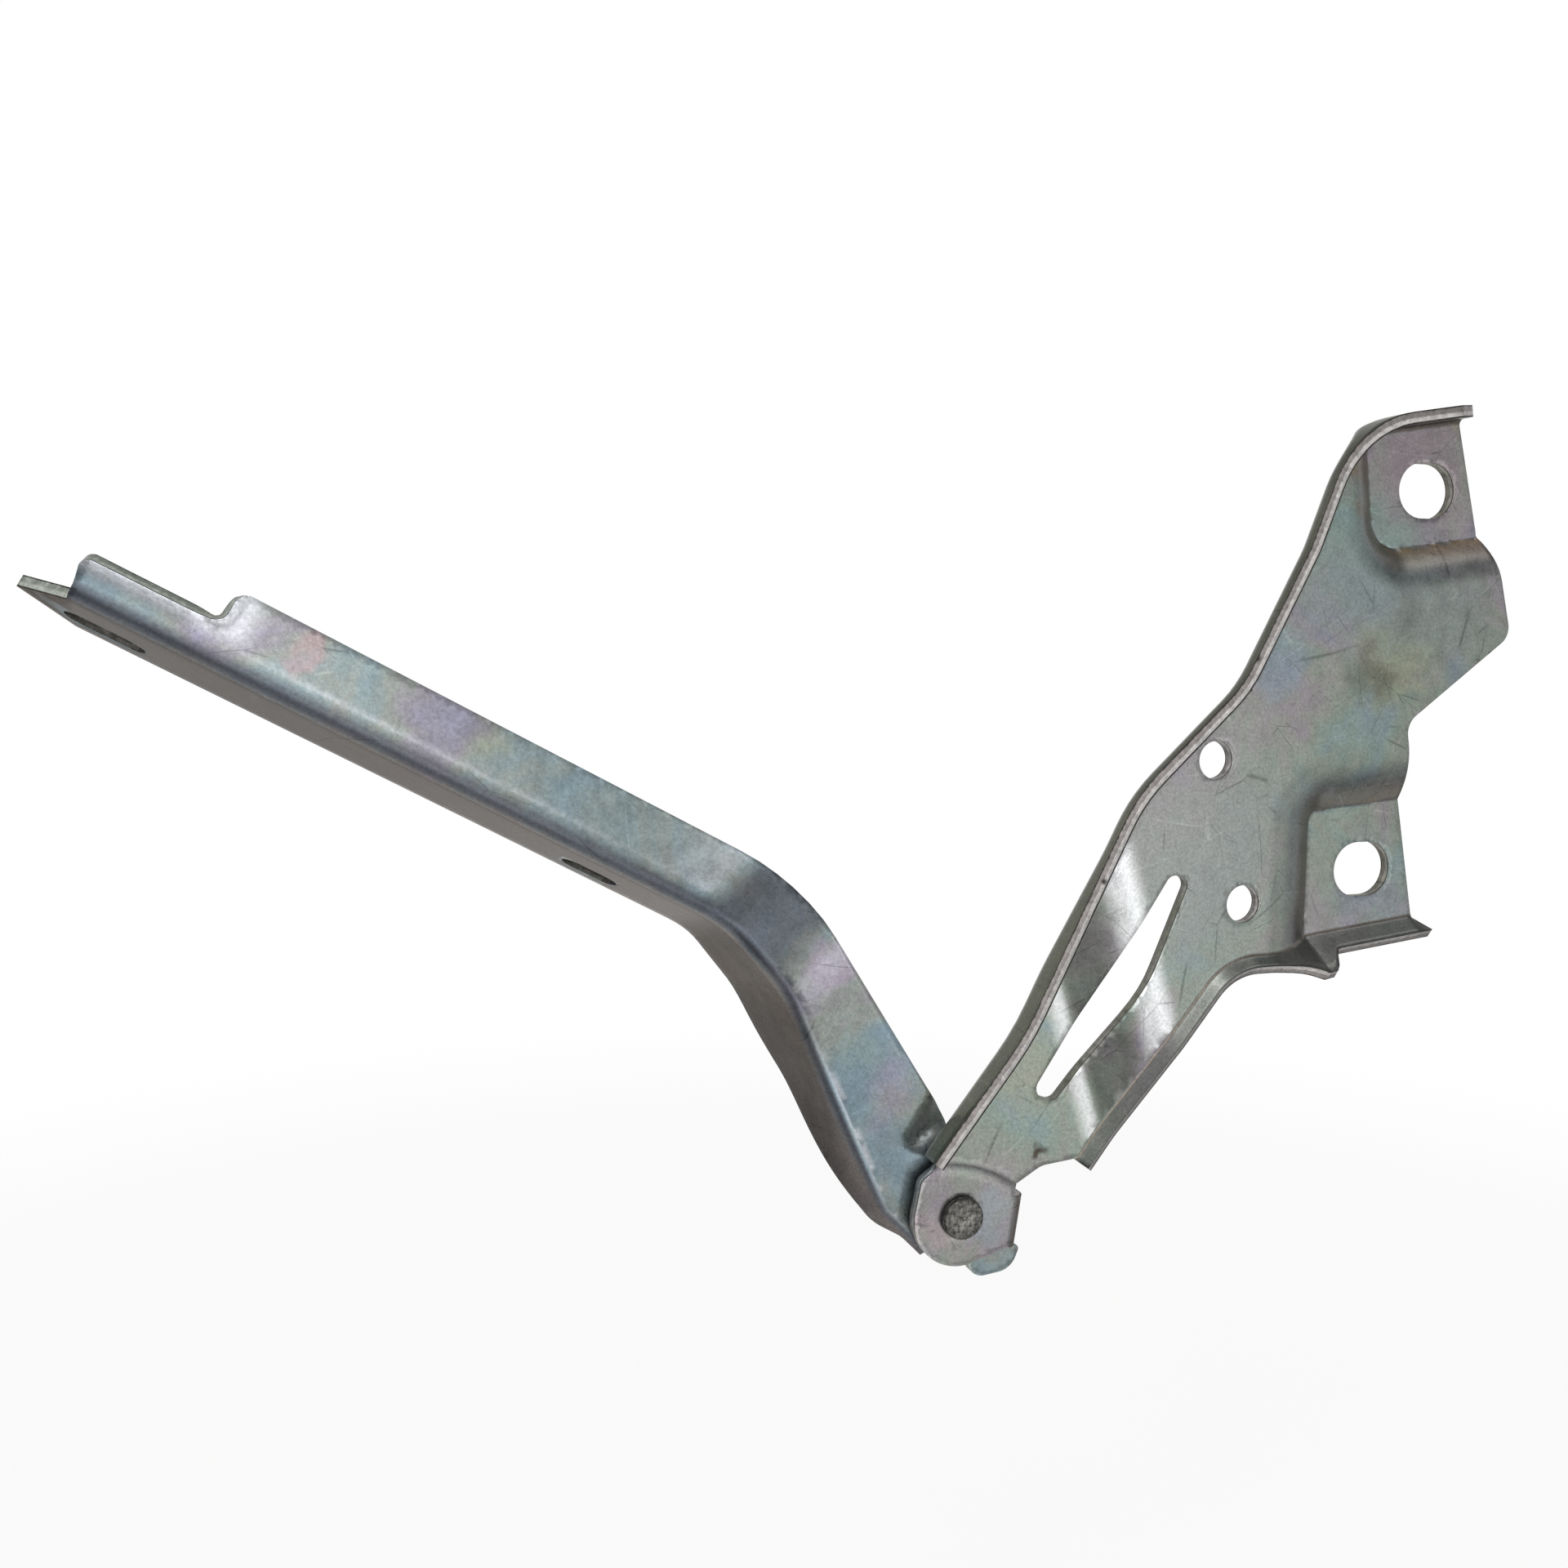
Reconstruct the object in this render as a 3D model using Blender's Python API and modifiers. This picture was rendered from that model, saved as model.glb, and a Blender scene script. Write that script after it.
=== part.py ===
"""Hood hinge: a pressed body bracket, a hood arm of angle section and the rivet joint between them.

Blender 4.5 script. It runs by itself, in metres, with +Z up.

The hinge stands as it does in the picture: the bracket's plate is upright in the XZ plane, and its
seats against the vehicle body face +Y, away from the viewer. The origin is the centre of the lower
body bolt hole, on the seating plane, and the arm stands against its open stop.
Both stampings are drawn as the middle layer of the sheet, which a Solidify modifier thickens.
"""
import math

import bmesh
import bpy
from mathutils import Matrix, Vector
from mathutils.geometry import delaunay_2d_cdt

# Driving dimensions. Lengths are in millimetres here and turned to metres in the mesh builders.
MM = 0.001
FIT_GAP = 0.3

# Bracket sheet, and how far its parts lie from each other in depth.
BRACKET_SHEET = 2.8
BRACKET_BEND = 2.9
SEAT_DEPTH = 6.0
NECK_DROP = 3.0
PIVOT_RAISE = 0.8
LONG_FLANGE_HEIGHT = 4.4
LONG_FLANGE_SLANT = 7.0
LOWER_FLANGE_HEIGHT = 3.0
LOWER_FLANGE_ANGLE = 50.0
LIP_HEIGHT = 4.4
LIP_END = -9.0
LIP_STEP = 4.5
LIP_REACH = 3.0
TAB_BEND = 2.2
TAB_REACH = 0.4

# Bracket holes.
BOLT_HOLE_LENGTH = 16.0
BOLT_HOLE_WIDTH = 13.2
UPPER_BOLT_HOLE = (15.1, 90.8)
GAUGE_HOLE_DIAMETER = 8.7
GAUGE_HOLES = [(-45.8, 27.8), (-37.6, -5.6)]
NECK_SLOT = [(-56.9, 2.0, 2.3), (-51.4, 1.2, 2.3), (-62.8, -24.8, 45), (-83.8, -48.8, 2.4), (-89.6, -46.4, 2.4)]

# Pressed shapes of the plate: where each slope starts, and how wide it is.
UPPER_SEAT_SLOPE = 6.5
LOWER_SEAT_SLOPE = 10.0
UPPER_SEAT_LINE = [(-12.5, 125.0, 0), (-6.2, 68.0, 14), (42.0, 74.5, 0)]
LOWER_SEAT_LINE = [(30.0, 29.0, 0), (-26.0, 24.0, 13), (-27.0, -40.0, 0)]
NECK_LINE = [(-84.2, 60.0, 0), (-43.9, -72.0, 0)]
NECK_SLOPE = 25.0
PIVOT_STEP_HEADING = (-0.297, -0.955)
PIVOT_STEP_RADIUS = 32.2
PIVOT_STEP_SLOPE = 2.0

# Pivot joint.
PIVOT = (-106.9, -72.4)
PIVOT_PAD_RADIUS = 11.2
RIVET_SHANK_DIAMETER = 8.0
RIVET_SHOULDER_DIAMETER = 10.0
RIVET_END_DIAMETER = 9.4
RIVET_END_HEIGHT = 1.6
RIVET_HEAD_DIAMETER = 17.0
RIVET_HEAD_HEIGHT = 3.0
DIMPLE_DIAMETER = 2.2
DIMPLE_DEPTH = 0.5
BUSH_WALL = 1.0
BUSH_FLANGE_DIAMETER = 16.0
BUSH_FLANGE_THICKNESS = 0.8
THRUST_WASHER_WIDTH = 2.9
THRUST_WASHER_THICKNESS = 0.8

# Hood arm.
ARM_SHEET = 2.5
ARM_BEND = 2.2
ARM_FLANGE_ANGLE = 76.5
POCKET_DEPTH = 1.4
POCKET_SLOPE = 3.2
POCKET_LINE = [(10.0, 13.0, 0), (-1.0, 15.8, 8), (-9.0, 12.0, 5), (-13.6, 16.2, 1.5), (-8.0, 25.4, 3),
               (-2.0, 34.0, 0)]
ARM_EYE_BACK_RADIUS = 10.0
ARM_EYE_NOTCH = (-0.6, 14.0)
ARM_JOGGLE = 2.0
ARM_JOGGLE_SLOPE = 17.0
ARM_JOGGLE_LINE = [(-172.0, -38.0, 0), (-112.0, 14.0, 0)]
LEAN_REACH = 2.0
LEAN_START = 0.8
LEAN_WIDTH = 5.2
TONGUE_NOTCH = (-256.6, 57.9)
LEAN_BLEND = 8.0
ARM_EYE_LOW_RADIUS = 11.4
EAR_CORNERS = [(-95.8, -81.3, 1), (-90.2, -82.6, 1), (-92.4, -87.9, 5), (-102.4, -88.9, 4),
               (-103.6, -83.6, 1)]
FLANGE_TAPER = 68.0
FOLD_TAPER = 48.0
FLANGE_END_SLANT = 9.7
FLANGE_END_ROUND = 9.5
HOOD_EDGE = 21.0
HOOD_SLOT_LENGTHS = [16.0, 13.0]
HOOD_SLOT_WIDTH = 6.6
HOOD_SLOT_DEPTH = 14.0
HOOD_SLOTS_ALONG = [7.1, 112.6]

# Fineness of the meshes.
LEAST_WALL = 0.6
LEAST_FOLD = 28.0
EDGE_STEP = 3.2
ROW_STEP = 2.8
FLAT_STEP = 11.0
BEND_STEPS = 4
ARC_STEP_DEGREES = 14.0
TURNED_STEPS = 48
SHARP_DEGREES = 35.0


def rounded(corners, closed=False):
    """Points of an outline given as (x, z, corner radius), each corner an arc of that radius."""
    points = []
    count = len(corners)
    for index, (x, z, radius) in enumerate(corners):
        corner = Vector((x, z))
        if radius <= 0 or (index in (0, count - 1) and not closed):
            points.append(corner)
            continue
        before = (Vector(corners[index - 1][:2]) - corner).normalized()
        after = (Vector(corners[(index + 1) % count][:2]) - corner).normalized()
        half = before.angle(after) / 2
        centre = corner + (before + after).normalized() * (radius / math.sin(half))
        reach = radius / math.tan(half)
        start, end = corner + before * reach - centre, corner + after * reach - centre
        turn = start.angle_signed(end)
        steps = max(2, math.ceil(math.degrees(abs(turn)) / ARC_STEP_DEGREES))
        for step in range(steps + 1):
            angle = -turn * step / steps
            cosine, sine = math.cos(angle), math.sin(angle)
            points.append(centre + Vector((start.x * cosine - start.y * sine,
                                           start.x * sine + start.y * cosine)))
    return points


def arc(centre, radius, start_degrees, end_degrees):
    """Points on an arc about a centre, angles measured from +X towards +Z."""
    steps = max(2, math.ceil(abs(end_degrees - start_degrees) / ARC_STEP_DEGREES))
    points = []
    for step in range(steps + 1):
        angle = math.radians(start_degrees + (end_degrees - start_degrees) * step / steps)
        points.append(Vector((centre[0] + radius * math.cos(angle), centre[1] + radius * math.sin(angle))))
    return points


def spaced(points, step):
    """The same line with its long runs divided, so that no edge is longer than the step."""
    result = [points[0]]
    for start, end in zip(points, points[1:]):
        parts = max(1, math.ceil((end - start).length / step))
        if (end - start).length < 0.01:
            continue
        result += [start.lerp(end, part / parts) for part in range(1, parts + 1)]
    return result


def left_normals(points):
    """Unit normals on the left of a line's direction, shared evenly at each point."""
    normals = []
    for index, point in enumerate(points):
        before = points[max(index - 1, 0)]
        after = points[min(index + 1, len(points) - 1)]
        first = (point - before).normalized() if index else (after - point).normalized()
        second = (after - point).normalized() if index < len(points) - 1 else first
        along = (first + second).normalized()
        normals.append(Vector((-along.y, along.x)))
    return normals


def offset_line(points, distance):
    """A line moved to its left by a distance."""
    return [point + normal * distance for point, normal in zip(points, left_normals(points))]


def distance_left(points, place):
    """Distance from a place to a line, positive on the left of the line's direction."""
    best, side = 1e9, 1.0
    for start, end in zip(points, points[1:]):
        run = end - start
        share = max(0.0, min(1.0, (place - start).dot(run) / run.length_squared))
        away = place - (start + run * share)
        if away.length < best - 1e-9:
            best = away.length
            side = 1.0 if run.x * away.y - run.y * away.x >= 0 else -1.0
    return best * side


def inside(loop, place):
    """Whether a place lies inside a closed outline."""
    crossings = 0
    for start, end in zip(loop, loop[1:] + loop[:1]):
        if (start.y > place.y) != (end.y > place.y):
            if place.x < start.x + (place.y - start.y) * (end.x - start.x) / (end.y - start.y):
                crossings += 1
    return crossings % 2 == 1


def ease(share):
    """Smooth step from 0 to 1, the section of a pressed slope."""
    share = max(0.0, min(1.0, share))
    return share * share * (3 - 2 * share)


def obround(centre, length, width, direction):
    """Closed outline of a slot with round ends."""
    radius = width / 2
    heading = math.degrees(math.atan2(direction[1], direction[0]))
    reach = Vector(direction).normalized() * (length - width) / 2
    middle = Vector(centre)
    return (arc(middle + reach, radius, heading - 90, heading + 90)
            + arc(middle - reach, radius, heading + 90, heading + 270))


def circle(centre, diameter, steps=24):
    """Closed outline of a round hole."""
    return [Vector((centre[0] + diameter / 2 * math.cos(2 * math.pi * step / steps),
                    centre[1] + diameter / 2 * math.sin(2 * math.pi * step / steps)))
            for step in range(steps)]


def form_rows(lines, slope):
    """Points in rows along pressed slopes, from the start of each slope to its foot."""
    rows = []
    for line in lines:
        for share in (0.0, 0.22, 0.5, 0.78, 1.0):
            rows += spaced(offset_line(spaced(line, ROW_STEP), slope * share), ROW_STEP)
    return rows


def fill(mesh, outline, holes, rows, level):
    """Fills a flat outline with triangles and lifts each point to its level in the pressed sheet."""
    loops = [outline] + holes
    points, faces = [], []
    for loop in loops:
        faces.append([len(points) + step for step in range(len(loop))])
        points += loop
    closed = [loop + loop[:1] for loop in loops]
    kept = []

    def add(place, clearance):
        if not inside(outline, place) or any(inside(hole, place) for hole in holes):
            return
        if min(abs(distance_left(loop, place)) for loop in closed) < 0.45 * clearance:
            return
        if kept and min((place - other).length_squared for other in kept) < (0.5 * clearance) ** 2:
            return
        kept.append(place)

    for place in rows:
        add(place, ROW_STEP)
    low = Vector((min(point.x for point in outline), min(point.y for point in outline)))
    high = Vector((max(point.x for point in outline), max(point.y for point in outline)))
    for column in range(int((high.x - low.x) / FLAT_STEP) + 1):
        for row in range(int((high.y - low.y) / FLAT_STEP) + 1):
            add(low + Vector((column + 0.5 * (row % 2), row)) * FLAT_STEP, FLAT_STEP)
    inside_with_holes = 2
    found, _, triangles, *_ = delaunay_2d_cdt(points + kept, [], faces, inside_with_holes, 1e-5)
    corners = [mesh.verts.new((point.x * MM, level(point) * MM, point.y * MM)) for point in found]
    for triangle in triangles:
        mesh.faces.new([corners[index] for index in triangle])


def fold(mesh, root, level, bend, towards, angles, edges, reach_before=0.0, reach_after=0.0):
    """Adds a bend along the left of a root line, and the flat wall beyond it.

    Each place on the line has its own fold angle and its own depth for the wall's edge. The fold
    goes to the viewer where towards is -1 and away where it is +1. The wall's far corners can reach
    past the two ends of the root line.
    """
    grid = []
    for place, out, angle, edge in zip(root, left_normals(root), angles, edges):
        base = level(place)
        column = []
        for step in range(BEND_STEPS + 1):
            turn = math.radians(angle) * step / BEND_STEPS
            spot = place + out * bend * math.sin(turn)
            column.append(Vector((spot.x, base + towards * bend * (1 - math.cos(turn)), spot.y)))
        full = math.radians(angle)
        lean = Vector((out.x * math.cos(full), towards * math.sin(full), out.y * math.cos(full)))
        reach = max(LEAST_WALL, (edge - column[-1].y) / lean.y)
        column.append(column[-1] + lean * reach)
        grid.append(column)
    for column, run, reach in ((grid[0], root[0] - root[1], reach_before),
                               (grid[-1], root[-1] - root[-2], reach_after)):
        along = run.normalized() * reach
        column[-1] += Vector((along.x, 0.0, along.y))
    corners = [[mesh.verts.new(spot * MM) for spot in column] for column in grid]
    for here, there in zip(corners, corners[1:]):
        for row in range(len(here) - 1):
            mesh.faces.new([here[row], there[row], there[row + 1], here[row + 1]])


def metal(name, colour, roughness):
    """A metal surface."""
    material = bpy.data.materials.new(name)
    material.use_nodes = True
    shader = material.node_tree.nodes["Principled BSDF"]
    shader.inputs["Base Color"].default_value = (*colour, 1.0)
    shader.inputs["Metallic"].default_value = 0.9
    shader.inputs["Roughness"].default_value = roughness
    return material


def sheet_object(name, mesh, thickness, material):
    """Turns the middle layer of a stamping into its solid."""
    bmesh.ops.remove_doubles(mesh, verts=mesh.verts[:], dist=0.02 * MM)
    bmesh.ops.recalc_face_normals(mesh, faces=mesh.faces[:])
    data = bpy.data.meshes.new(name)
    mesh.to_mesh(data)
    mesh.free()
    data.materials.append(material)
    thing = bpy.data.objects.new(name, data)
    parts.objects.link(thing)
    shell = thing.modifiers.new("Sheet", "SOLIDIFY")
    shell.thickness = thickness * MM
    shell.offset = 0.0
    shell.use_even_offset = True
    return thing


def smooth(thing):
    """Applies a stamping's modifiers and shades its bends smooth, its cut edges sharp."""
    solid = bpy.data.meshes.new_from_object(thing.evaluated_get(bpy.context.evaluated_depsgraph_get()))
    thing.modifiers.clear()
    thing.data = solid
    solid.name = thing.name
    solid.shade_smooth()
    solid.set_sharp_from_angle(angle=math.radians(SHARP_DEGREES))


def turned_object(name, profile, front, material):
    """A turned piece about the pivot: profile points are (radius, depth behind its front)."""
    data = bpy.data.meshes.new(name)
    spots = [(radius * MM, 0.0, -depth * MM) for radius, depth in profile]
    count = len(spots)
    runs = [(step, (step + 1) % count) for step in range(count)]
    data.from_pydata(spots, [run for run in runs if spots[run[0]][0] + spots[run[1]][0] > 0.0], [])
    data.materials.append(material)
    thing = bpy.data.objects.new(name, data)
    parts.objects.link(thing)
    turning = thing.modifiers.new("Turned", "SCREW")
    turning.steps = turning.render_steps = TURNED_STEPS
    turning.use_merge_vertices = True
    turning.merge_threshold = 0.00001
    thing.rotation_euler = (math.radians(90), 0.0, 0.0)
    thing.location = (PIVOT[0] * MM, front * MM, PIVOT[1] * MM)
    return thing


for old in list(bpy.data.objects):
    bpy.data.objects.remove(old, do_unlink=True)
parts = bpy.data.collections.new("hood_hinge")
bpy.context.scene.collection.children.link(parts)
cutters = bpy.data.collections.new("cutters")
bpy.context.scene.collection.children.link(cutters)

# Depth of each layer, from the seating plane at Y = 0 towards the viewer at -Y.
seat_middle = -BRACKET_SHEET / 2
plate_middle = seat_middle - SEAT_DEPTH
neck_middle = plate_middle + NECK_DROP
pivot_middle = neck_middle - PIVOT_RAISE
pivot_front = pivot_middle - BRACKET_SHEET / 2
pivot_back = pivot_middle + BRACKET_SHEET / 2
washer_front = pivot_back + FIT_GAP
boss_front = washer_front + THRUST_WASHER_THICKNESS + FIT_GAP
boss_middle = boss_front + ARM_SHEET / 2
boss_back = boss_front + ARM_SHEET
pivot_place = Vector(PIVOT)
shoulder = RIVET_SHOULDER_DIAMETER / 2
bush_inner = shoulder + FIT_GAP
bush_outer = bush_inner + BUSH_WALL
washer_inner = bush_outer + FIT_GAP
washer_outer = washer_inner + THRUST_WASHER_WIDTH

zinc = metal("bracket zinc plating", (0.40, 0.43, 0.41), 0.38)
arm_zinc = metal("arm zinc plating", (0.37, 0.40, 0.42), 0.36)
dark_steel = metal("peened rivet steel", (0.14, 0.13, 0.12), 0.5)
bronze = metal("sintered bush bronze", (0.42, 0.30, 0.14), 0.45)
washer_steel = metal("thrust washer steel", (0.30, 0.30, 0.29), 0.4)


# Body bracket: plate, two seats, neck and pivot pad, with flanges along both long edges.
upper_seat_line = rounded(UPPER_SEAT_LINE)
lower_seat_line = rounded(LOWER_SEAT_LINE)
neck_line = rounded(NECK_LINE)
step_reach = washer_outer + FIT_GAP + PIVOT_STEP_SLOPE
step_centre = pivot_place + Vector(PIVOT_STEP_HEADING) * (PIVOT_STEP_RADIUS - step_reach)


def neck_share(place):
    """How far the plate has dropped towards the neck, from 0 to 1."""
    return ease(-distance_left(neck_line, place) / NECK_SLOPE)


def bracket_level(place):
    """Depth of the middle of the bracket's sheet."""
    upper = ease(distance_left(upper_seat_line, place) / UPPER_SEAT_SLOPE)
    lower = ease(distance_left(lower_seat_line, place) / LOWER_SEAT_SLOPE)
    raised = ease((PIVOT_STEP_RADIUS - (place - step_centre).length) / PIVOT_STEP_SLOPE)
    return plate_middle + SEAT_DEPTH * max(upper, lower) + NECK_DROP * neck_share(place) - PIVOT_RAISE * raised


# Where its flanges leave the plate, clockwise from the lower left. The long flange and the tab are
# given by their outer faces, the splayed lower flange by the start of its bend.
root_inset = BRACKET_BEND + BRACKET_SHEET / 2
tab_inset = TAB_BEND + BRACKET_SHEET / 2
long_flange = rounded([(-115.8, -57.6, 0), (-94.6, -31.2, 60), (-67.9, 20.6, 40), (-41.0, 45.0, 30),
                       (-24.0, 76.2, 30), (-12.4, 105.0, 28), (23.4, 110.7, 0)])
lower_root = rounded([(14.9, -11.5, 0), (-14.5, -14.6, 20), (-26.5, -17.2, 30), (-42.0, -17.2, 18),
                      (-58.8, -37.4, 60), (-78.5, -62.5, 0)])
tab_line = [pivot_place + Vector(spot) for spot in ((16.2, 2.6), (14.35, -9.0))]

long_root = offset_line(spaced(long_flange, EDGE_STEP), -root_inset)
lower_root = spaced(lower_root, EDGE_STEP)
tab_root = offset_line(spaced(tab_line, EDGE_STEP), -tab_inset)

right_edge = rounded([(*long_root[-1], 0), (36.2, 56.2, 4.5), (6.6, 35.3, 5), (*lower_root[0], 0)])
neck_edge = rounded([(*lower_root[-1], 0), (-86.8, -63.2, 6), (-93.4, -66.9, 1.5), (*tab_root[0], 0)])
pad_edge = [tab_root[-1], *arc(PIVOT, PIVOT_PAD_RADIUS, -68, -197)]
left_edge = rounded([(*pad_edge[-1], 0), (-116.4, -63.4, 2), (*long_root[0], 0)])
outline = long_root
for run in (right_edge, lower_root, neck_edge, tab_root, pad_edge, left_edge):
    run = spaced(run, EDGE_STEP)
    outline = outline + [place for place in run if (place - outline[-1]).length > 0.05]
outline = outline[:-1] if (outline[-1] - outline[0]).length < 0.05 else outline

bolt_hole = obround((0, 0), BOLT_HOLE_LENGTH, BOLT_HOLE_WIDTH, (1, 0))
holes = [bolt_hole, [place + Vector(UPPER_BOLT_HOLE) for place in bolt_hole],
         spaced(rounded(NECK_SLOT, closed=True), EDGE_STEP),
         circle(PIVOT, RIVET_SHANK_DIAMETER + 2 * FIT_GAP)]
holes += [circle(centre, GAUGE_HOLE_DIAMETER) for centre in GAUGE_HOLES]
rows = form_rows([upper_seat_line], UPPER_SEAT_SLOPE) + form_rows([lower_seat_line], LOWER_SEAT_SLOPE)
for root in (long_root, lower_root):
    rows += offset_line(root, -ROW_STEP)
rows += form_rows([neck_line], -NECK_SLOPE)
rows += form_rows([arc(step_centre, PIVOT_STEP_RADIUS, 48, 117)], PIVOT_STEP_SLOPE)

plate = bmesh.new()
fill(plate, outline, holes, rows, bracket_level)
long_edges = []
for place in long_root:
    short = 1 - min(1.0, (place - long_root[-1]).length / LONG_FLANGE_SLANT)
    long_edges.append(plate_middle - LONG_FLANGE_HEIGHT * (1 - short))
square = [90.0] * len(outline)
fold(plate, long_root, bracket_level, BRACKET_BEND, -1, square, long_edges)
lower_edges = []
for place in lower_root:
    lip = ease((place.x - LIP_END) / LIP_STEP + 1)
    edge = plate_middle - LOWER_FLANGE_HEIGHT + NECK_DROP * neck_share(place)
    lower_edges.append(edge + (seat_middle - LIP_HEIGHT - edge) * lip)
splayed = [LOWER_FLANGE_ANGLE] * len(lower_root)
fold(plate, lower_root, bracket_level, BRACKET_BEND, -1, splayed, lower_edges, LIP_REACH)
fold(plate, tab_root, bracket_level, TAB_BEND, 1, square, [TAB_REACH] * len(tab_root))
smooth(sheet_object("body_bracket", plate, BRACKET_SHEET, zinc))


# Hood arm: a web with the hood flange along its lower edge, and the eye with its stop ear.
joggle_line = rounded(ARM_JOGGLE_LINE)
pocket_line = rounded([(PIVOT[0] + x, PIVOT[1] + z, radius) for x, z, radius in POCKET_LINE])
arm_root = rounded([(-113.0, -80.6, 0), (-122.3, -70.6, 10), (-144.0, -18.9, 42), (-157.2, -3.0, 32),
                    (-281.3, 64.55, 0)])
arm_root = spaced(arm_root, EDGE_STEP)
arm_axis = (arm_root[-1] - arm_root[-2]).normalized()
arm_up = Vector((arm_axis.y, -arm_axis.x))
lean_length = (arm_root[-1] - Vector(TONGUE_NOTCH)).dot(arm_axis) + LEAN_BLEND / 3


def arm_level(place):
    """Depth of the middle of the arm's sheet."""
    sunk = ease(-distance_left(pocket_line, place) / POCKET_SLOPE)
    outboard = ease(distance_left(joggle_line, place) / ARM_JOGGLE_SLOPE)
    height = (place - arm_root[-1]).dot(arm_up)
    share = min(max(0.0, height - LEAN_START) / LEAN_WIDTH, 1.3)
    lean = LEAN_REACH * share ** 2 * ease((lean_length - (arm_root[-1] - place).dot(arm_axis)) / LEAN_BLEND)
    return boss_middle + POCKET_DEPTH * sunk + ARM_JOGGLE * outboard - lean


top_edge = rounded([(*arm_root[-1], 0), (-279.3, 70.1, 2), (*TONGUE_NOTCH, 2), (-253.0, 63.6, 3),
                    (-142.7, 3.5, 55), (-108.5, -51.8, 9), (*(pivot_place + Vector(ARM_EYE_NOTCH)), 2.5),
                    (*(pivot_place + Vector((-0.4, ARM_EYE_BACK_RADIUS))), 0)])
eye_edge = arc(PIVOT, ARM_EYE_BACK_RADIUS, 80, -32)
low_edge = arc(PIVOT, ARM_EYE_LOW_RADIUS, -84, -120)
ear_edge = rounded([(*eye_edge[-1], 0), *EAR_CORNERS, (*low_edge[0], 0)])
outline = arm_root
for run in (top_edge, eye_edge, ear_edge, low_edge):
    run = spaced(run, EDGE_STEP)
    outline = outline + [place for place in run if (place - outline[-1]).length > 0.05]
outline = outline[:-1] if (outline[-1] - outline[0]).length < 0.05 else outline

bush_hole = RIVET_SHOULDER_DIAMETER + 2 * BUSH_WALL + 4 * FIT_GAP
rows = form_rows([joggle_line], ARM_JOGGLE_SLOPE)
rows += form_rows([pocket_line], -POCKET_SLOPE)
rows += offset_line(arm_root, -ROW_STEP)
lean_end = [place for place in arm_root if (place - arm_root[-1]).length < lean_length]
for share in (0.3, 0.6, 0.85):
    rows += offset_line(lean_end, -LEAN_START - LEAN_WIDTH * share)
web = bmesh.new()
fill(web, outline, [circle(PIVOT, bush_hole)], rows, arm_level)
angles, edges = [], []
for place in arm_root:
    travel = (place - arm_root[0]).length
    angles.append(LEAST_FOLD + (ARM_FLANGE_ANGLE - LEAST_FOLD) * ease(travel / FOLD_TAPER))
    edges.append(boss_middle + (HOOD_EDGE - boss_middle) * ease(travel / FLANGE_TAPER))
edges[-1] -= FLANGE_END_ROUND
fold(web, arm_root, arm_level, ARM_BEND, 1, angles, edges, 0.0, FLANGE_END_SLANT)
arm = sheet_object("hood_arm", web, ARM_SHEET, arm_zinc)

# The two slots for the hood's bolts, cut through the flange.
wall_angle = math.radians(ARM_FLANGE_ANGLE)
for number, (along, length) in enumerate(zip(HOOD_SLOTS_ALONG, HOOD_SLOT_LENGTHS), 1):
    place = arm_root[-1] - arm_axis * along
    bend_end = arm_level(place) + ARM_BEND * (1 - math.cos(wall_angle))
    sideways = ARM_BEND * math.sin(wall_angle) + (HOOD_SLOT_DEPTH - bend_end) / math.tan(wall_angle)
    spot = place - arm_up * sideways
    cutter = bpy.data.meshes.new("hood_slot_cutter_%d" % number)
    shape = bmesh.new()
    for side in (-1, 1):
        ring = [shape.verts.new((place.x * MM, place.y * MM, side * 4 * ARM_SHEET * MM))
                for place in obround((0, 0), length, HOOD_SLOT_WIDTH, (1, 0))]
        shape.faces.new(ring)
    rings = [list(face.verts) for face in shape.faces]
    for step in range(len(rings[0])):
        after = (step + 1) % len(rings[0])
        shape.faces.new([rings[0][step], rings[0][after], rings[1][after], rings[1][step]])
    bmesh.ops.recalc_face_normals(shape, faces=shape.faces[:])
    shape.to_mesh(cutter)
    shape.free()
    tool = bpy.data.objects.new(cutter.name, cutter)
    cutters.objects.link(tool)
    tool.hide_render = True
    tool.display_type = "WIRE"
    tool.location = (spot.x * MM, HOOD_SLOT_DEPTH * MM, spot.y * MM)
    outward = Vector((-arm_up.x * math.sin(wall_angle), -math.cos(wall_angle),
                      -arm_up.y * math.sin(wall_angle)))
    run = Vector((arm_axis.x, 0.0, arm_axis.y))
    across = outward.cross(run)
    tool.rotation_euler = Matrix((run, across, outward)).transposed().to_euler()
    cut = arm.modifiers.new("Hood slot %d" % number, "BOOLEAN")
    cut.operation = "DIFFERENCE"
    cut.object = tool
bpy.context.view_layer.update()
smooth(arm)
arm.data.transform(Matrix.Translation((-PIVOT[0] * MM, 0.0, -PIVOT[1] * MM)))
arm.location = (PIVOT[0] * MM, 0.0, PIVOT[1] * MM)

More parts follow.
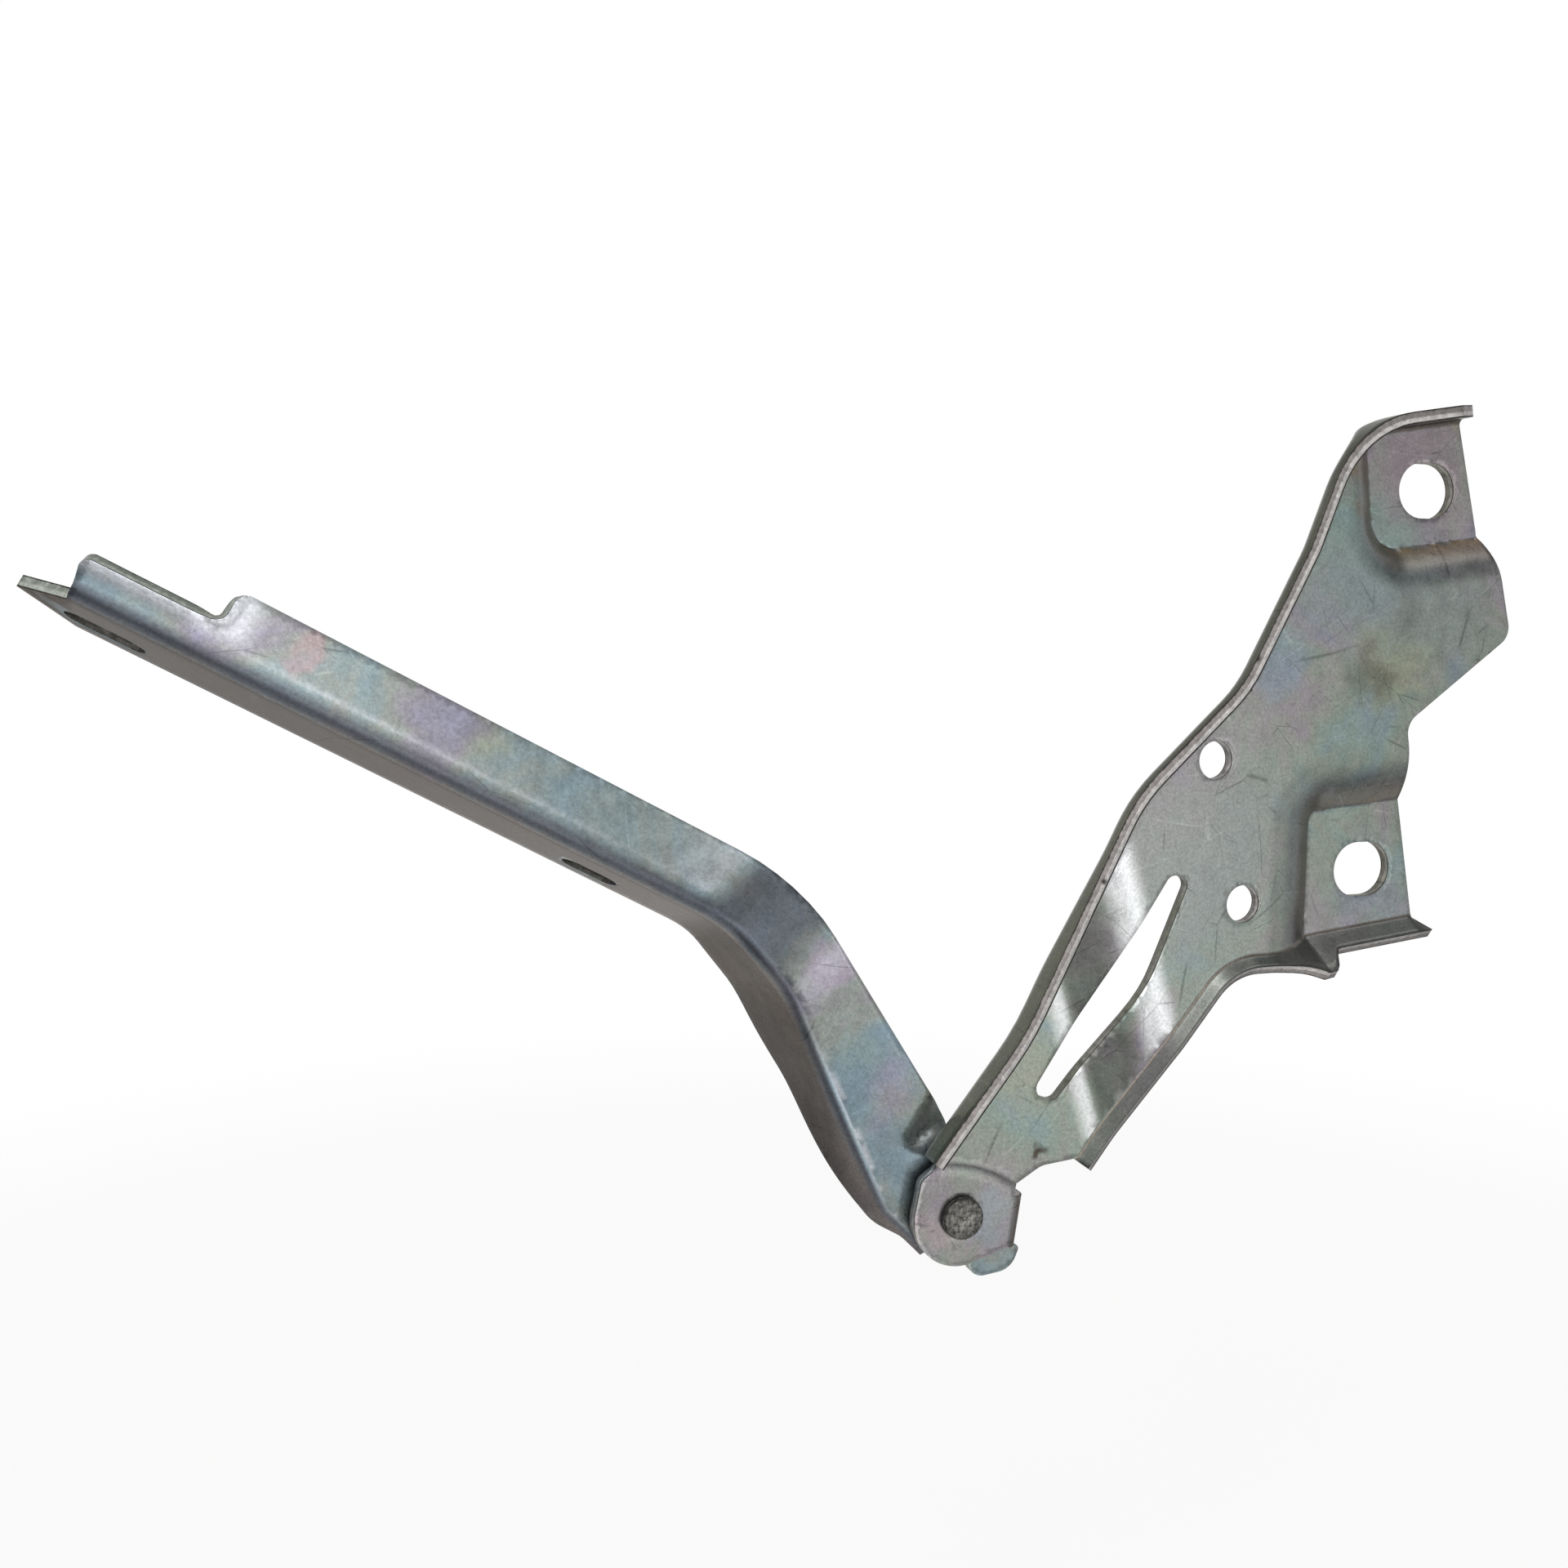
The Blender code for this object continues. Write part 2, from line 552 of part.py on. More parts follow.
# Rivet, bush and thrust washer on the pivot's axis.
shank = RIVET_SHANK_DIAMETER / 2
end = RIVET_END_DIAMETER / 2
head = RIVET_HEAD_DIAMETER / 2
end_front = pivot_front - FIT_GAP - RIVET_END_HEIGHT
shoulder_front = pivot_back + FIT_GAP - end_front
head_front = boss_back + 2 * FIT_GAP + BUSH_FLANGE_THICKNESS - end_front
head_back = head_front + RIVET_HEAD_HEIGHT
turned_object("pivot_rivet", [
    (0.0, DIMPLE_DEPTH), (DIMPLE_DIAMETER / 2, 0.0), (end - 0.5, 0.0), (end, 0.5),
    (end, RIVET_END_HEIGHT), (shank, RIVET_END_HEIGHT), (shank, shoulder_front),
    (shoulder, shoulder_front), (shoulder, head_front), (head, head_front),
    (head, head_back - 1.0), (head - 1.0, head_back), (0.0, head_back)], end_front, dark_steel)

bush_front = washer_front + FIT_GAP
bush_flange = boss_back + FIT_GAP - bush_front
bush_back = bush_flange + BUSH_FLANGE_THICKNESS
turned_object("pivot_bush", [
    (bush_inner, 0.0), (bush_outer, 0.0), (bush_outer, bush_flange), (BUSH_FLANGE_DIAMETER / 2, bush_flange),
    (BUSH_FLANGE_DIAMETER / 2, bush_back), (bush_inner, bush_back)], bush_front, bronze)

turned_object("thrust_washer", [
    (washer_inner, 0.0), (washer_outer, 0.0), (washer_outer, THRUST_WASHER_THICKNESS),
    (washer_inner, THRUST_WASHER_THICKNESS)], washer_front, washer_steel)
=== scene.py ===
"""Hood hinge: the finish of its two zinc-plated stampings and of the rivet joint between them.

Blender 4.5 script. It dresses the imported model, in metres, in the model's own frame: the bracket's
plate is upright in the XZ plane, the vehicle body is at +Y and the viewer at -Y.
"""
import cmath
import math

import bmesh
import bpy
import numpy as np
from mathutils import Matrix, Vector
from mathutils.geometry import delaunay_2d_cdt


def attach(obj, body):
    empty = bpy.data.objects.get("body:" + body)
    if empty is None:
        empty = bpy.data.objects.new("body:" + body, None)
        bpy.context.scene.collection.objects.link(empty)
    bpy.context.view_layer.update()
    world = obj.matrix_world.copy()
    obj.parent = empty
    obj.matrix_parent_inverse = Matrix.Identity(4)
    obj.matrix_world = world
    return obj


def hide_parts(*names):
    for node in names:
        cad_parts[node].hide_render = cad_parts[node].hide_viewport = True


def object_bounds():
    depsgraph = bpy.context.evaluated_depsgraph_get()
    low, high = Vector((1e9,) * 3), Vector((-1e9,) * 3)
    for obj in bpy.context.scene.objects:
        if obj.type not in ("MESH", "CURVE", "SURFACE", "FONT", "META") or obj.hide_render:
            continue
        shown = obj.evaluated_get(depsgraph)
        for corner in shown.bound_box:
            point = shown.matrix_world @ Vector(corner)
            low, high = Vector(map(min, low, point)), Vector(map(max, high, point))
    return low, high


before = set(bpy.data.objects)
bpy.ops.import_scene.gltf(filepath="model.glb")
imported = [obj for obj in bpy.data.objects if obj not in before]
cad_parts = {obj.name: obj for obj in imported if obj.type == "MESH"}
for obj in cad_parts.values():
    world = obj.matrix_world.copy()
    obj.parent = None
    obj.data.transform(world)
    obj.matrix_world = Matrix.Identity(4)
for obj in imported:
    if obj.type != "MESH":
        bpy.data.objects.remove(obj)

solid_box = [list(corner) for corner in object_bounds()]
scene = bpy.context.scene
scene.view_settings.view_transform = "Standard"


# Camera: the hinge is seen from its left and a little above, at arm's length. The lens, in millimetres,
# and the place, in metres, were fitted to the perspective of the photograph.
CAMERA_PLACE = (-0.241818, -0.294926, 0.0514745)
CAMERA_AZIMUTH = -18.0
CAMERA_ELEVATION = 5.0
CAMERA_LENS = 33.75
CAMERA_SENSOR = 36.0
CAMERA_NEAR = 0.01

azimuth, elevation = math.radians(CAMERA_AZIMUTH), math.radians(CAMERA_ELEVATION)
back = Vector((math.sin(azimuth) * math.cos(elevation), -math.cos(azimuth) * math.cos(elevation),
               math.sin(elevation)))
right = Vector((math.cos(azimuth), math.sin(azimuth), 0.0))
camera_data = bpy.data.cameras.new("camera")
camera_data.sensor_width = CAMERA_SENSOR
camera_data.lens = CAMERA_LENS
camera_data.clip_start = CAMERA_NEAR
camera = bpy.data.objects.new("camera", camera_data)
facing = Matrix((right, back.cross(right), back)).transposed().to_4x4()
camera.matrix_world = Matrix.Translation(CAMERA_PLACE) @ facing
scene.collection.objects.link(camera)
scene.camera = camera


# The room round the hinge: white to the camera. In the metal it has a bright left, dark parts, a narrow
# upright lamp at the right and a white backdrop right behind the hinge, all laid out by direction.
# Each list gives (direction, level), where a direction runs from -1 to 1 along X, Y or Z.
VIEWER_SIDE = [(-1.0, 0.3), (-0.5, 0.45), (-0.24, 1.5), (-0.12, 2.8), (-0.02, 2.2), (0.05, 1.1), (0.13, 0.9),
               (0.20, 0.66), (0.26, 0.48), (0.31, 0.36), (0.345, 0.85), (0.40, 1.2), (0.54, 1.2), (0.60, 1.02),
               (0.64, 0.6), (0.70, 0.5), (0.76, 0.85), (0.88, 0.7), (1.0, 0.3)]
OVERHEAD = [(-1.0, 1.0), (-0.2, 1.3), (0.3, 0.7), (0.55, 0.3), (0.7, 0.16), (1.0, 0.3)]
BEHIND = [(-1.0, 0.3), (-0.42, 0.33), (-0.2, 0.55), (0.05, 0.8), (0.4, 0.7), (0.65, 0.32), (1.0, 0.32)]
STRAIGHT_DOWN = 1.0
# How the viewer's side dims downwards, at its left and at its right.
LOW_LEFT = [(-1.0, 0.4), (-0.7, 0.7), (-0.4, 0.9), (-0.18, 1.0)]
LOW_RIGHT = [(-1.0, 0.2), (-0.62, 0.25), (-0.40, 1.0)]
LAMP_SIDES = [(0.37, 0.0), (0.385, 1.0), (0.465, 1.0), (0.48, 0.0)]
LAMP_ENDS = [(-0.31, 0.0), (-0.27, 1.0), (0.02, 1.0), (0.06, 0.0)]
LAMP_LEVEL = 1.3
# Where one part of the room passes into the next, and the backdrop's soft edge in degrees off the middle.
LEFT_TO_RIGHT = (0.31, 0.37)
SIDE_TO_OVERHEAD = (0.14, 0.4)
VIEWER_TO_BEHIND = (-0.3, 0.0)
SIDE_TO_FLOOR = (-0.62, -0.76)
BACKDROP_SPREAD = (30.0, 20.0)
WHITE = (1.0, 1.0, 1.0, 1.0)


def add(tree, kind, links=(), **settings):
    """Adds a node, with inputs linked or set by name or number, and returns its first output. The setting
    stops is a ramp's own, a list of (place, linear colour)."""
    node = tree.nodes.new(kind)
    stops = settings.pop("stops", [])
    for name, value in settings.items():
        setattr(node, name, value)
    for _ in stops[2:]:
        node.color_ramp.elements.new(0.5)
    for index, (place, colour) in enumerate(stops):
        node.color_ramp.elements[index].position = place
        node.color_ramp.elements[index].color = colour
    for socket, value in dict(links).items():
        if isinstance(value, bpy.types.NodeSocket):
            tree.links.new(value, node.inputs[socket])
        else:
            node.inputs[socket].default_value = value
    return next((output for output in node.outputs if output.enabled), None)


def by_direction(tree, share, levels):
    """A level that follows one share of a direction, from -1 to 1, through its list of (share, level)."""
    place = add(tree, "ShaderNodeMapRange", {0: share, 1: -1.0})
    return add(tree, "ShaderNodeValToRGB", {0: place},
               stops=[((stop + 1) / 2, (level, level, level, 1.0)) for stop, level in levels])


world = bpy.data.worlds.new("studio")
world.use_nodes = True
tree = world.node_tree
tree.nodes.clear()
looking = add(tree, "ShaderNodeTexCoord")
aim = add(tree, "ShaderNodeSeparateXYZ", {0: looking}).node.outputs
rightwards = add(tree, "ShaderNodeMapRange", {0: aim["X"], 1: LEFT_TO_RIGHT[0], 2: LEFT_TO_RIGHT[1]})
dimmed = add(tree, "ShaderNodeMix", {0: rightwards, 2: by_direction(tree, aim["Z"], LOW_LEFT),
                                     3: by_direction(tree, aim["Z"], LOW_RIGHT)})
room = add(tree, "ShaderNodeMath", {0: by_direction(tree, aim["X"], VIEWER_SIDE), 1: dimmed},
           operation="MULTIPLY")
narrow_lamp = add(tree, "ShaderNodeMath", {0: by_direction(tree, aim["X"], LAMP_SIDES),
                                           1: by_direction(tree, aim["Z"], LAMP_ENDS)},
                  operation="MULTIPLY")
room = add(tree, "ShaderNodeMath", {0: narrow_lamp, 1: LAMP_LEVEL, 2: room}, operation="MULTIPLY_ADD")
upwards = add(tree, "ShaderNodeMapRange", {0: aim["Z"], 1: SIDE_TO_OVERHEAD[0], 2: SIDE_TO_OVERHEAD[1]})
room = add(tree, "ShaderNodeMix", {0: upwards, 2: room, 3: by_direction(tree, aim["X"], OVERHEAD)})
backwards = add(tree, "ShaderNodeMapRange", {0: aim["Y"], 1: VIEWER_TO_BEHIND[0], 2: VIEWER_TO_BEHIND[1]})
room = add(tree, "ShaderNodeMix", {0: backwards, 2: room, 3: by_direction(tree, aim["Z"], BEHIND)})
downwards = add(tree, "ShaderNodeMapRange", {0: aim["Z"], 1: SIDE_TO_FLOOR[0], 2: SIDE_TO_FLOOR[1]})
room = add(tree, "ShaderNodeMix", {0: downwards, 2: room, 3: STRAIGHT_DOWN})
inwards = add(tree, "ShaderNodeVectorMath", {0: looking, 1: -back}, operation="DOT_PRODUCT")
spread = [math.cos(math.radians(angle)) for angle in BACKDROP_SPREAD]
backdrop = add(tree, "ShaderNodeMapRange", {0: inwards.node.outputs["Value"], 1: spread[0], 2: spread[1]})
rays = add(tree, "ShaderNodeLightPath").node.outputs
mirrored = add(tree, "ShaderNodeMath", {0: rays["Is Glossy Ray"], 1: backdrop}, operation="MULTIPLY")
plain = add(tree, "ShaderNodeMath", {0: rays["Is Camera Ray"], 1: rays["Is Transmission Ray"]},
            operation="MAXIMUM")
plain = add(tree, "ShaderNodeMath", {0: plain, 1: mirrored}, operation="MAXIMUM")
shown = add(tree, "ShaderNodeMix", {0: plain, 2: room, 3: 1.0})
light = add(tree, "ShaderNodeBackground", {"Color": WHITE, "Strength": shown})
add(tree, "ShaderNodeOutputWorld", {0: light})
scene.world = world


# White paper: a large matt sheet of wood pulp, laid flat under the hinge. Its measures are in metres.
# The eye sees a plain white ground with a soft shadow, which fades into the white of the room. The metal
# looks through it, so that its reflections come from the room alone.
PAPER_DROP = 0.16
PAPER_SIZE = 2.0
PAPER_MIDDLE = (-0.1, 0.1)
PAPER_FADE = (0.45, 0.8)
PAPER_GLOW = 0.85
PAPER_WHITE = "#F4F4F2"


def linear(code):
    """Linear colour of an sRGB hex code."""
    parts = [int(code[place:place + 2], 16) / 255 for place in (1, 3, 5)]
    return [part / 12.92 if part <= 0.04045 else ((part + 0.055) / 1.055) ** 2.4 for part in parts] + [1.0]


paper_half = PAPER_SIZE / 2
paper_mesh = bpy.data.meshes.new("white_paper")
paper_mesh.from_pydata([(-paper_half, -paper_half, 0), (paper_half, -paper_half, 0),
                        (paper_half, paper_half, 0), (-paper_half, paper_half, 0)], [], [(0, 1, 2, 3)])
paper = bpy.data.objects.new("white_paper", paper_mesh)
paper.location = (*PAPER_MIDDLE, solid_box[0][2] - PAPER_DROP)
scene.collection.objects.link(paper)
matt_paper = bpy.data.materials.new("matt white paper")
matt_paper.use_nodes = True
tree = matt_paper.node_tree
tree.nodes.clear()
spot = add(tree, "ShaderNodeTexCoord").node.outputs["Object"]
outwards = add(tree, "ShaderNodeVectorMath", {0: spot}, operation="LENGTH").node.outputs["Value"]
rays = add(tree, "ShaderNodeLightPath").node.outputs
glow = add(tree, "ShaderNodeMath", {0: rays["Is Camera Ray"], 1: PAPER_GLOW}, operation="MULTIPLY")
matt = add(tree, "ShaderNodeBsdfDiffuse", {"Color": linear(PAPER_WHITE)})
shining = add(tree, "ShaderNodeEmission", {"Color": WHITE, "Strength": 1.0})
sheet = add(tree, "ShaderNodeMixShader", {0: glow, 1: matt, 2: shining})
fade = add(tree, "ShaderNodeMapRange", {0: outwards, 1: PAPER_FADE[0], 2: PAPER_FADE[1]},
           interpolation_type="SMOOTHSTEP")
fade = add(tree, "ShaderNodeMath", {0: fade, 1: rays["Is Glossy Ray"]}, operation="MAXIMUM")
clear = add(tree, "ShaderNodeBsdfTransparent")
add(tree, "ShaderNodeOutputMaterial", {0: add(tree, "ShaderNodeMixShader", {0: fade, 1: sheet, 2: clear})})
paper_mesh.materials.append(matt_paper)


# Two square soft boxes on stands, well above the viewer's side and the left one the stronger. They give
# the hinge its plain light and the paper its shadow. Places and size are in metres, strengths in watts.
SOFT_BOXES = [("soft_box_left", (-0.7, -0.9, 1.3), 7.0), ("soft_box_right", (0.7, -0.6, 1.4), 2.0)]
SOFT_BOX_SIZE = 0.6
SOFT_BOX_TARGET = Vector((-0.1, 0.0, 0.0))

for box_name, box_place, watts in SOFT_BOXES:
    soft_light = bpy.data.lights.new(box_name, "AREA")
    soft_light.size = SOFT_BOX_SIZE
    soft_light.energy = watts
    soft_box = bpy.data.objects.new(box_name, soft_light)
    soft_box.location = box_place
    soft_box.rotation_euler = (Vector(box_place) - SOFT_BOX_TARGET).to_track_quat("Z", "Y").to_euler()
    scene.collection.objects.link(soft_box)


# Body bracket: one stamping of 2.8 mm steel, blanked, pierced and drawn in a press, then zinc plated
# and clear passivated. It is bolted to the vehicle body through its two sunk seats.
# Its sizes are the part's own, in millimetres and degrees.
MM = 0.001
BRACKET_SHEET = 2.8
BRACKET_BEND = 2.9
ROLLED_EDGE = 0.32
FIT_GAP = 0.3
SEAT_MIDDLE = -1.4
PLATE_MIDDLE = -7.4
SEAT_DEPTH = 6.0
SEAT_SOFTNESS = 4.0
SEAT_CRISPNESS = 0.65
UPPER_SEAT_SLOPE = 6.5
LOWER_SEAT_SLOPE = 10.0
NECK_DROP = 3.0
NECK_SLOPE = 25.0
NECK_BEND = 0.18
PIVOT = complex(-106.9, -72.4)
PIVOT_RAISE = 0.8
PIVOT_HOLE = 8.6
PAD_RADIUS = 11.2
STEP_RADIUS = 32.2
STEP_SLOPE = 2.0
WASHER_OUTER = 9.5
TAB_BEND = 2.2
TAB_EDGE = 0.4
LONG_FLANGE_ANGLE = 90.0
LONG_FLANGE_DEPTH = 4.4
LONG_FLANGE_RUNOUT = 7.0
LOWER_FLANGE_ANGLE = 50.0
LOWER_FLANGE_DEPTH = 3.0
LOWER_FLANGE_RUN = 3.0
LIP_DEPTH = 4.4
LIP_START = -13.5
LIP_SLOPE = 4.5
GAUGE_HOLES = [complex(-45.8, 27.8), complex(-37.6, -5.6)]
GAUGE_HOLE = 8.7
BOLT_HOLES = [0j, complex(15.1, 90.8)]
BOLT_HOLE = (16.0, 13.2)
# The mesh: the size of its triangles, the height of their rows and how far their corners stay from an
# edge and from each other, in triangles, the step of an arc, and the distances at which points are one.
GRAIN = 1.3
ROW_HEIGHT = 0.87
EDGE_MARGIN = 0.55
LEAST_GAP = 0.5
ARC_STEP = 5.0
SAME_PLACE = 0.05
WELD = 0.01
BEND_COLUMNS = 9
LEAST_WALL = 0.6
ROLLED_ANGLE = 40.0
# How steep a slope has to be to take painted shade, and how much painted shade a bend takes.
SLOPE_PROBE = 0.4
SLOPE_SHADE_FROM = 0.2
SLOPE_SHADE_GAIN = 1.15
BEND_SHADE_LEVEL = 0.7


def rounded(corners, closed=False):
    """Outline through corners (x, z, radius), as complex numbers x + zi in millimetres."""
    spots = [complex(x, z) for x, z, _ in corners]
    points = []
    for index, (spot, (_, _, radius)) in enumerate(zip(spots, corners)):
        if radius <= 0 or (index in (0, len(spots) - 1) and not closed):
            points.append(spot)
            continue
        before = spots[index - 1] - spot
        after = spots[(index + 1) % len(spots)] - spot
        before, after = before / abs(before), after / abs(after)
        opening = abs(cmath.phase(after / before)) / 2
        middle = spot + (before + after) / abs(before + after) * radius / math.sin(opening)
        start = spot + before * radius / math.tan(opening) - middle
        sweep = cmath.phase((spot + after * radius / math.tan(opening) - middle) / start)
        steps = max(2, math.ceil(abs(math.degrees(sweep)) / ARC_STEP))
        points += [middle + start * cmath.exp(1j * sweep * step / steps) for step in range(steps + 1)]
    return np.array(points)


def corner_at(place, radius=0):
    """A place as a corner of an outline."""
    return (place.real, place.imag, radius)


def arc(middle, radius, first, last):
    """Points on an arc, angles in degrees from +X towards +Z."""
    steps = max(2, math.ceil(abs(last - first) / ARC_STEP))
    return middle + radius * np.exp(1j * np.radians(np.linspace(first, last, steps + 1)))


def circle(middle, diameter):
    """Closed outline of a round hole."""
    return arc(middle, diameter / 2, 0, 360 - ARC_STEP)


def obround(middle, length, width):
    """Closed outline of a level slot with round ends."""
    reach = (length - width) / 2
    return np.concatenate((arc(middle + reach, width / 2, -90, 90),
                           arc(middle - reach, width / 2, 90, 270)))


def spaced(points, step):
    """The same line with its long runs divided."""
    result = [points[0]]
    for start, end in zip(points, points[1:]):
        if abs(end - start) > WELD:
            parts = max(1, math.ceil(abs(end - start) / step))
            result += list(start + (end - start) * np.arange(1, parts + 1) / parts)
    return np.array(result)


def joined(runs):
    """One closed outline from its runs, each divided, with no point twice."""
    points = [runs[0][0]]
    for run in runs:
        points += [place for place in spaced(run, GRAIN) if abs(place - points[-1]) > SAME_PLACE]
    return np.array(points[:-1] if abs(points[-1] - points[0]) < SAME_PLACE else points)


def left_normals(points):
    """Unit normals on the left of a line's direction."""
    runs = np.diff(points)
    runs = runs / abs(runs)
    along = np.concatenate((runs[:1], runs[:-1] + runs[1:], runs[-1:]))
    return 1j * along / abs(along)


def offset_line(points, distance):
    """A line moved to its left."""
    return points + left_normals(points) * distance


def distance_left(line, places):
    """Distance from places to a line, positive on the left of its direction."""
    runs = np.diff(line)
    away = places[:, None] - line[:-1]
    away -= np.clip((away * runs.conj()).real / abs(runs) ** 2, 0, 1) * runs
    nearest = abs(away).argmin(1)
    away = away[np.arange(len(places)), nearest]
    return abs(away) * np.where((away * runs[nearest].conj()).imag >= 0, 1, -1)


def inside(loop, places):
    """Whether places lie inside a closed outline."""
    end = np.roll(loop, -1)
    height = places.imag[:, None]
    with np.errstate(all="ignore"):
        cut = loop.real + (height - loop.imag) * (end.real - loop.real) / (end.imag - loop.imag)
    between = (loop.imag > height) != (end.imag > height)
    return (between & (places.real[:, None] < cut)).sum(1) % 2 == 1


def ease(share):
    """Smooth step from 0 to 1, the section of a soft pressed slope."""
    share = np.clip(share, 0, 1)
    return share * share * (3 - 2 * share)


def drawn(share):
    """Section of a seat's wall: it leaves the plate softly and meets the seat in a crisp line."""
    share = np.clip(share, 0, 1)
    return SEAT_CRISPNESS * share ** 3 + (1 - SEAT_CRISPNESS) * ease(share)


def straight(share):
    """A straight slope from 0 to 1, with a quick bend at either end."""
    share = np.clip(share, 0, 1)
    low, high = np.minimum(share, NECK_BEND), np.minimum(1 - share, NECK_BEND)
    middle = np.clip(share, NECK_BEND, 1 - NECK_BEND) - NECK_BEND
    reach = middle + (low * low - high * high) / (2 * NECK_BEND) + NECK_BEND / 2
    return reach / (1 - NECK_BEND)


def slope_rows(line, slope):
    """Points in rows along a steep pressed slope."""
    points = spaced(line, GRAIN)
    return np.concatenate([offset_line(points, slope * share) for share in (0, 0.25, 0.5, 0.75, 1)])


def blank():
    """An empty mesh that notes the painted shade of slopes and bends, the painted highlights and shade, and
    which walls take painted light and which painted shade.
    """
    mesh = bmesh.new()
    for layer in ("slope_shade", "wall_light_and_shade", "highlight_and_shade"):
        mesh.verts.layers.float.new(layer)
    return mesh


def fill(mesh, outline, holes, rows, level, highlight_and_shade):
    """Fills an outline with small triangles, each point lifted to its level in the pressed sheet.

    It notes how much painted shade each point takes from its slope, from 0 where the sheet is flat to 1 on a
    steep slope, and its painted light: towards 1 for a painted highlight, towards -1 for painted shade.
    """
    layers = mesh.verts.layers.float
    xs, zs = np.meshgrid(np.arange(outline.real.min(), outline.real.max(), GRAIN),
                         np.arange(outline.imag.min(), outline.imag.max(), ROW_HEIGHT * GRAIN))
    xs[1::2] += GRAIN / 2
    places = np.concatenate((rows, (xs + 1j * zs).ravel()))
    places = places[inside(outline, places)]
    for hole in holes:
        places = places[~inside(hole, places)]
    loops = [outline] + holes
    for loop in loops:
        places = places[abs(distance_left(np.append(loop, loop[0]), places)) > EDGE_MARGIN * GRAIN]
    kept, cells = [], {}
    for place in places:
        cell = (round(place.real / GRAIN), round(place.imag / GRAIN))
        near = [spot for x in (-1, 0, 1) for z in (-1, 0, 1)
                for spot in cells.get((cell[0] + x, cell[1] + z), ())]
        if all(abs(place - spot) > LEAST_GAP * GRAIN for spot in near):
            cells.setdefault(cell, []).append(place)
            kept.append(place)
    rings, count = [], 0
    for loop in loops:
        rings.append(list(range(count, count + len(loop))))
        count += len(loop)
    points = [Vector((place.real, place.imag)) for place in np.concatenate(loops + [kept])]
    found, _, triangles, *_ = delaunay_2d_cdt(points, [], rings, 2, 1e-5)
    places = np.array([complex(*point) for point in found])
    rise_x = level(places + SLOPE_PROBE) - level(places - SLOPE_PROBE)
    rise_z = level(places + 1j * SLOPE_PROBE) - level(places - 1j * SLOPE_PROBE)
    steepness = abs(rise_x + 1j * rise_z) / (2 * SLOPE_PROBE)
    corners = []
    for place, depth, steep, light_level in zip(places, level(places), steepness, highlight_and_shade(places)):
        corners.append(mesh.verts.new((place.real * MM, depth * MM, place.imag * MM)))
        # Painted shade grows with the slope's steepness, and gives way where a painted highlight lies.
        slope_darkness = min(max((steep - SLOPE_SHADE_FROM) * SLOPE_SHADE_GAIN, 0), 1)
        corners[-1][layers["slope_shade"]] = slope_darkness * (1 - max(light_level, 0))
        corners[-1][layers["highlight_and_shade"]] = light_level
    for triangle in triangles:
        mesh.faces.new([corners[index] for index in triangle])


def fold(mesh, root, level, bend, towards, angles, edges, run_before=0.0, run_after=0.0, side=1,
         highlights_and_shades=(0.0, 0.0, 0.0)):
    """Adds a bend along the left of a root line, and the wall beyond it up to its edge's depth.

    It notes the bend's painted shade, the wall by its side for its painted light and shade, 1 for a wall in
    the light and -1 for a dark one, and the painted highlight and shade at the top of the bend, its middle and
    the wall.
    """
    layers = mesh.verts.layers.float
    out = left_normals(root)
    base = level(root)
    full = np.radians(angles)
    columns = []
    for share in np.linspace(0, 1, BEND_COLUMNS):
        turn = full * share
        columns.append((root + out * bend * np.sin(turn), base + towards * bend * (1 - np.cos(turn)),
                        BEND_SHADE_LEVEL * math.sin(math.pi * share), 1 - ease(share * 2.0),
                        ease(share * 1.6 - 0.6)))
    spot, depth, *_ = columns[-1]
    reach = np.maximum(LEAST_WALL, (edges - depth) / (towards * np.sin(full)))
    ends = np.zeros(len(root), complex)
    ends[0] = (root[0] - root[1]) / abs(root[0] - root[1]) * run_before
    ends[-1] = (root[-1] - root[-2]) / abs(root[-1] - root[-2]) * run_after
    rises = max(1, math.ceil(reach.max() / (2 * GRAIN)))
    for rise in np.arange(1, rises + 1) / rises:
        columns.append((spot + (out * np.cos(full) * reach + ends) * rise,
                        depth + towards * np.sin(full) * reach * rise, 0.0, 0.0, 1.0))
    grid = []
    for places, depths, bend_shade, top, wall in columns:
        highlight_and_shade = highlights_and_shades[0] * top + highlights_and_shades[1] * (1 - top - wall) + highlights_and_shades[2] * wall + 0 * places.real
        grid.append([])
        for place, deep, light_level in zip(places, depths, highlight_and_shade):
            corner = mesh.verts.new((place.real * MM, deep * MM, place.imag * MM))
            corner[layers["slope_shade"]] = bend_shade
            corner[layers["wall_light_and_shade"]] = wall * side
            corner[layers["highlight_and_shade"]] = light_level
            grid[-1].append(corner)
    for here, there in zip(grid, grid[1:]):
        for step in range(len(root) - 1):
            mesh.faces.new([here[step], here[step + 1], there[step + 1], there[step]])


def baked(thing):
    """Applies an object's modifiers."""
    bpy.context.view_layer.update()
    final = bpy.data.meshes.new_from_object(thing.evaluated_get(bpy.context.evaluated_depsgraph_get()))
    thing.modifiers.clear()
    thing.data = final
    final.name = thing.name


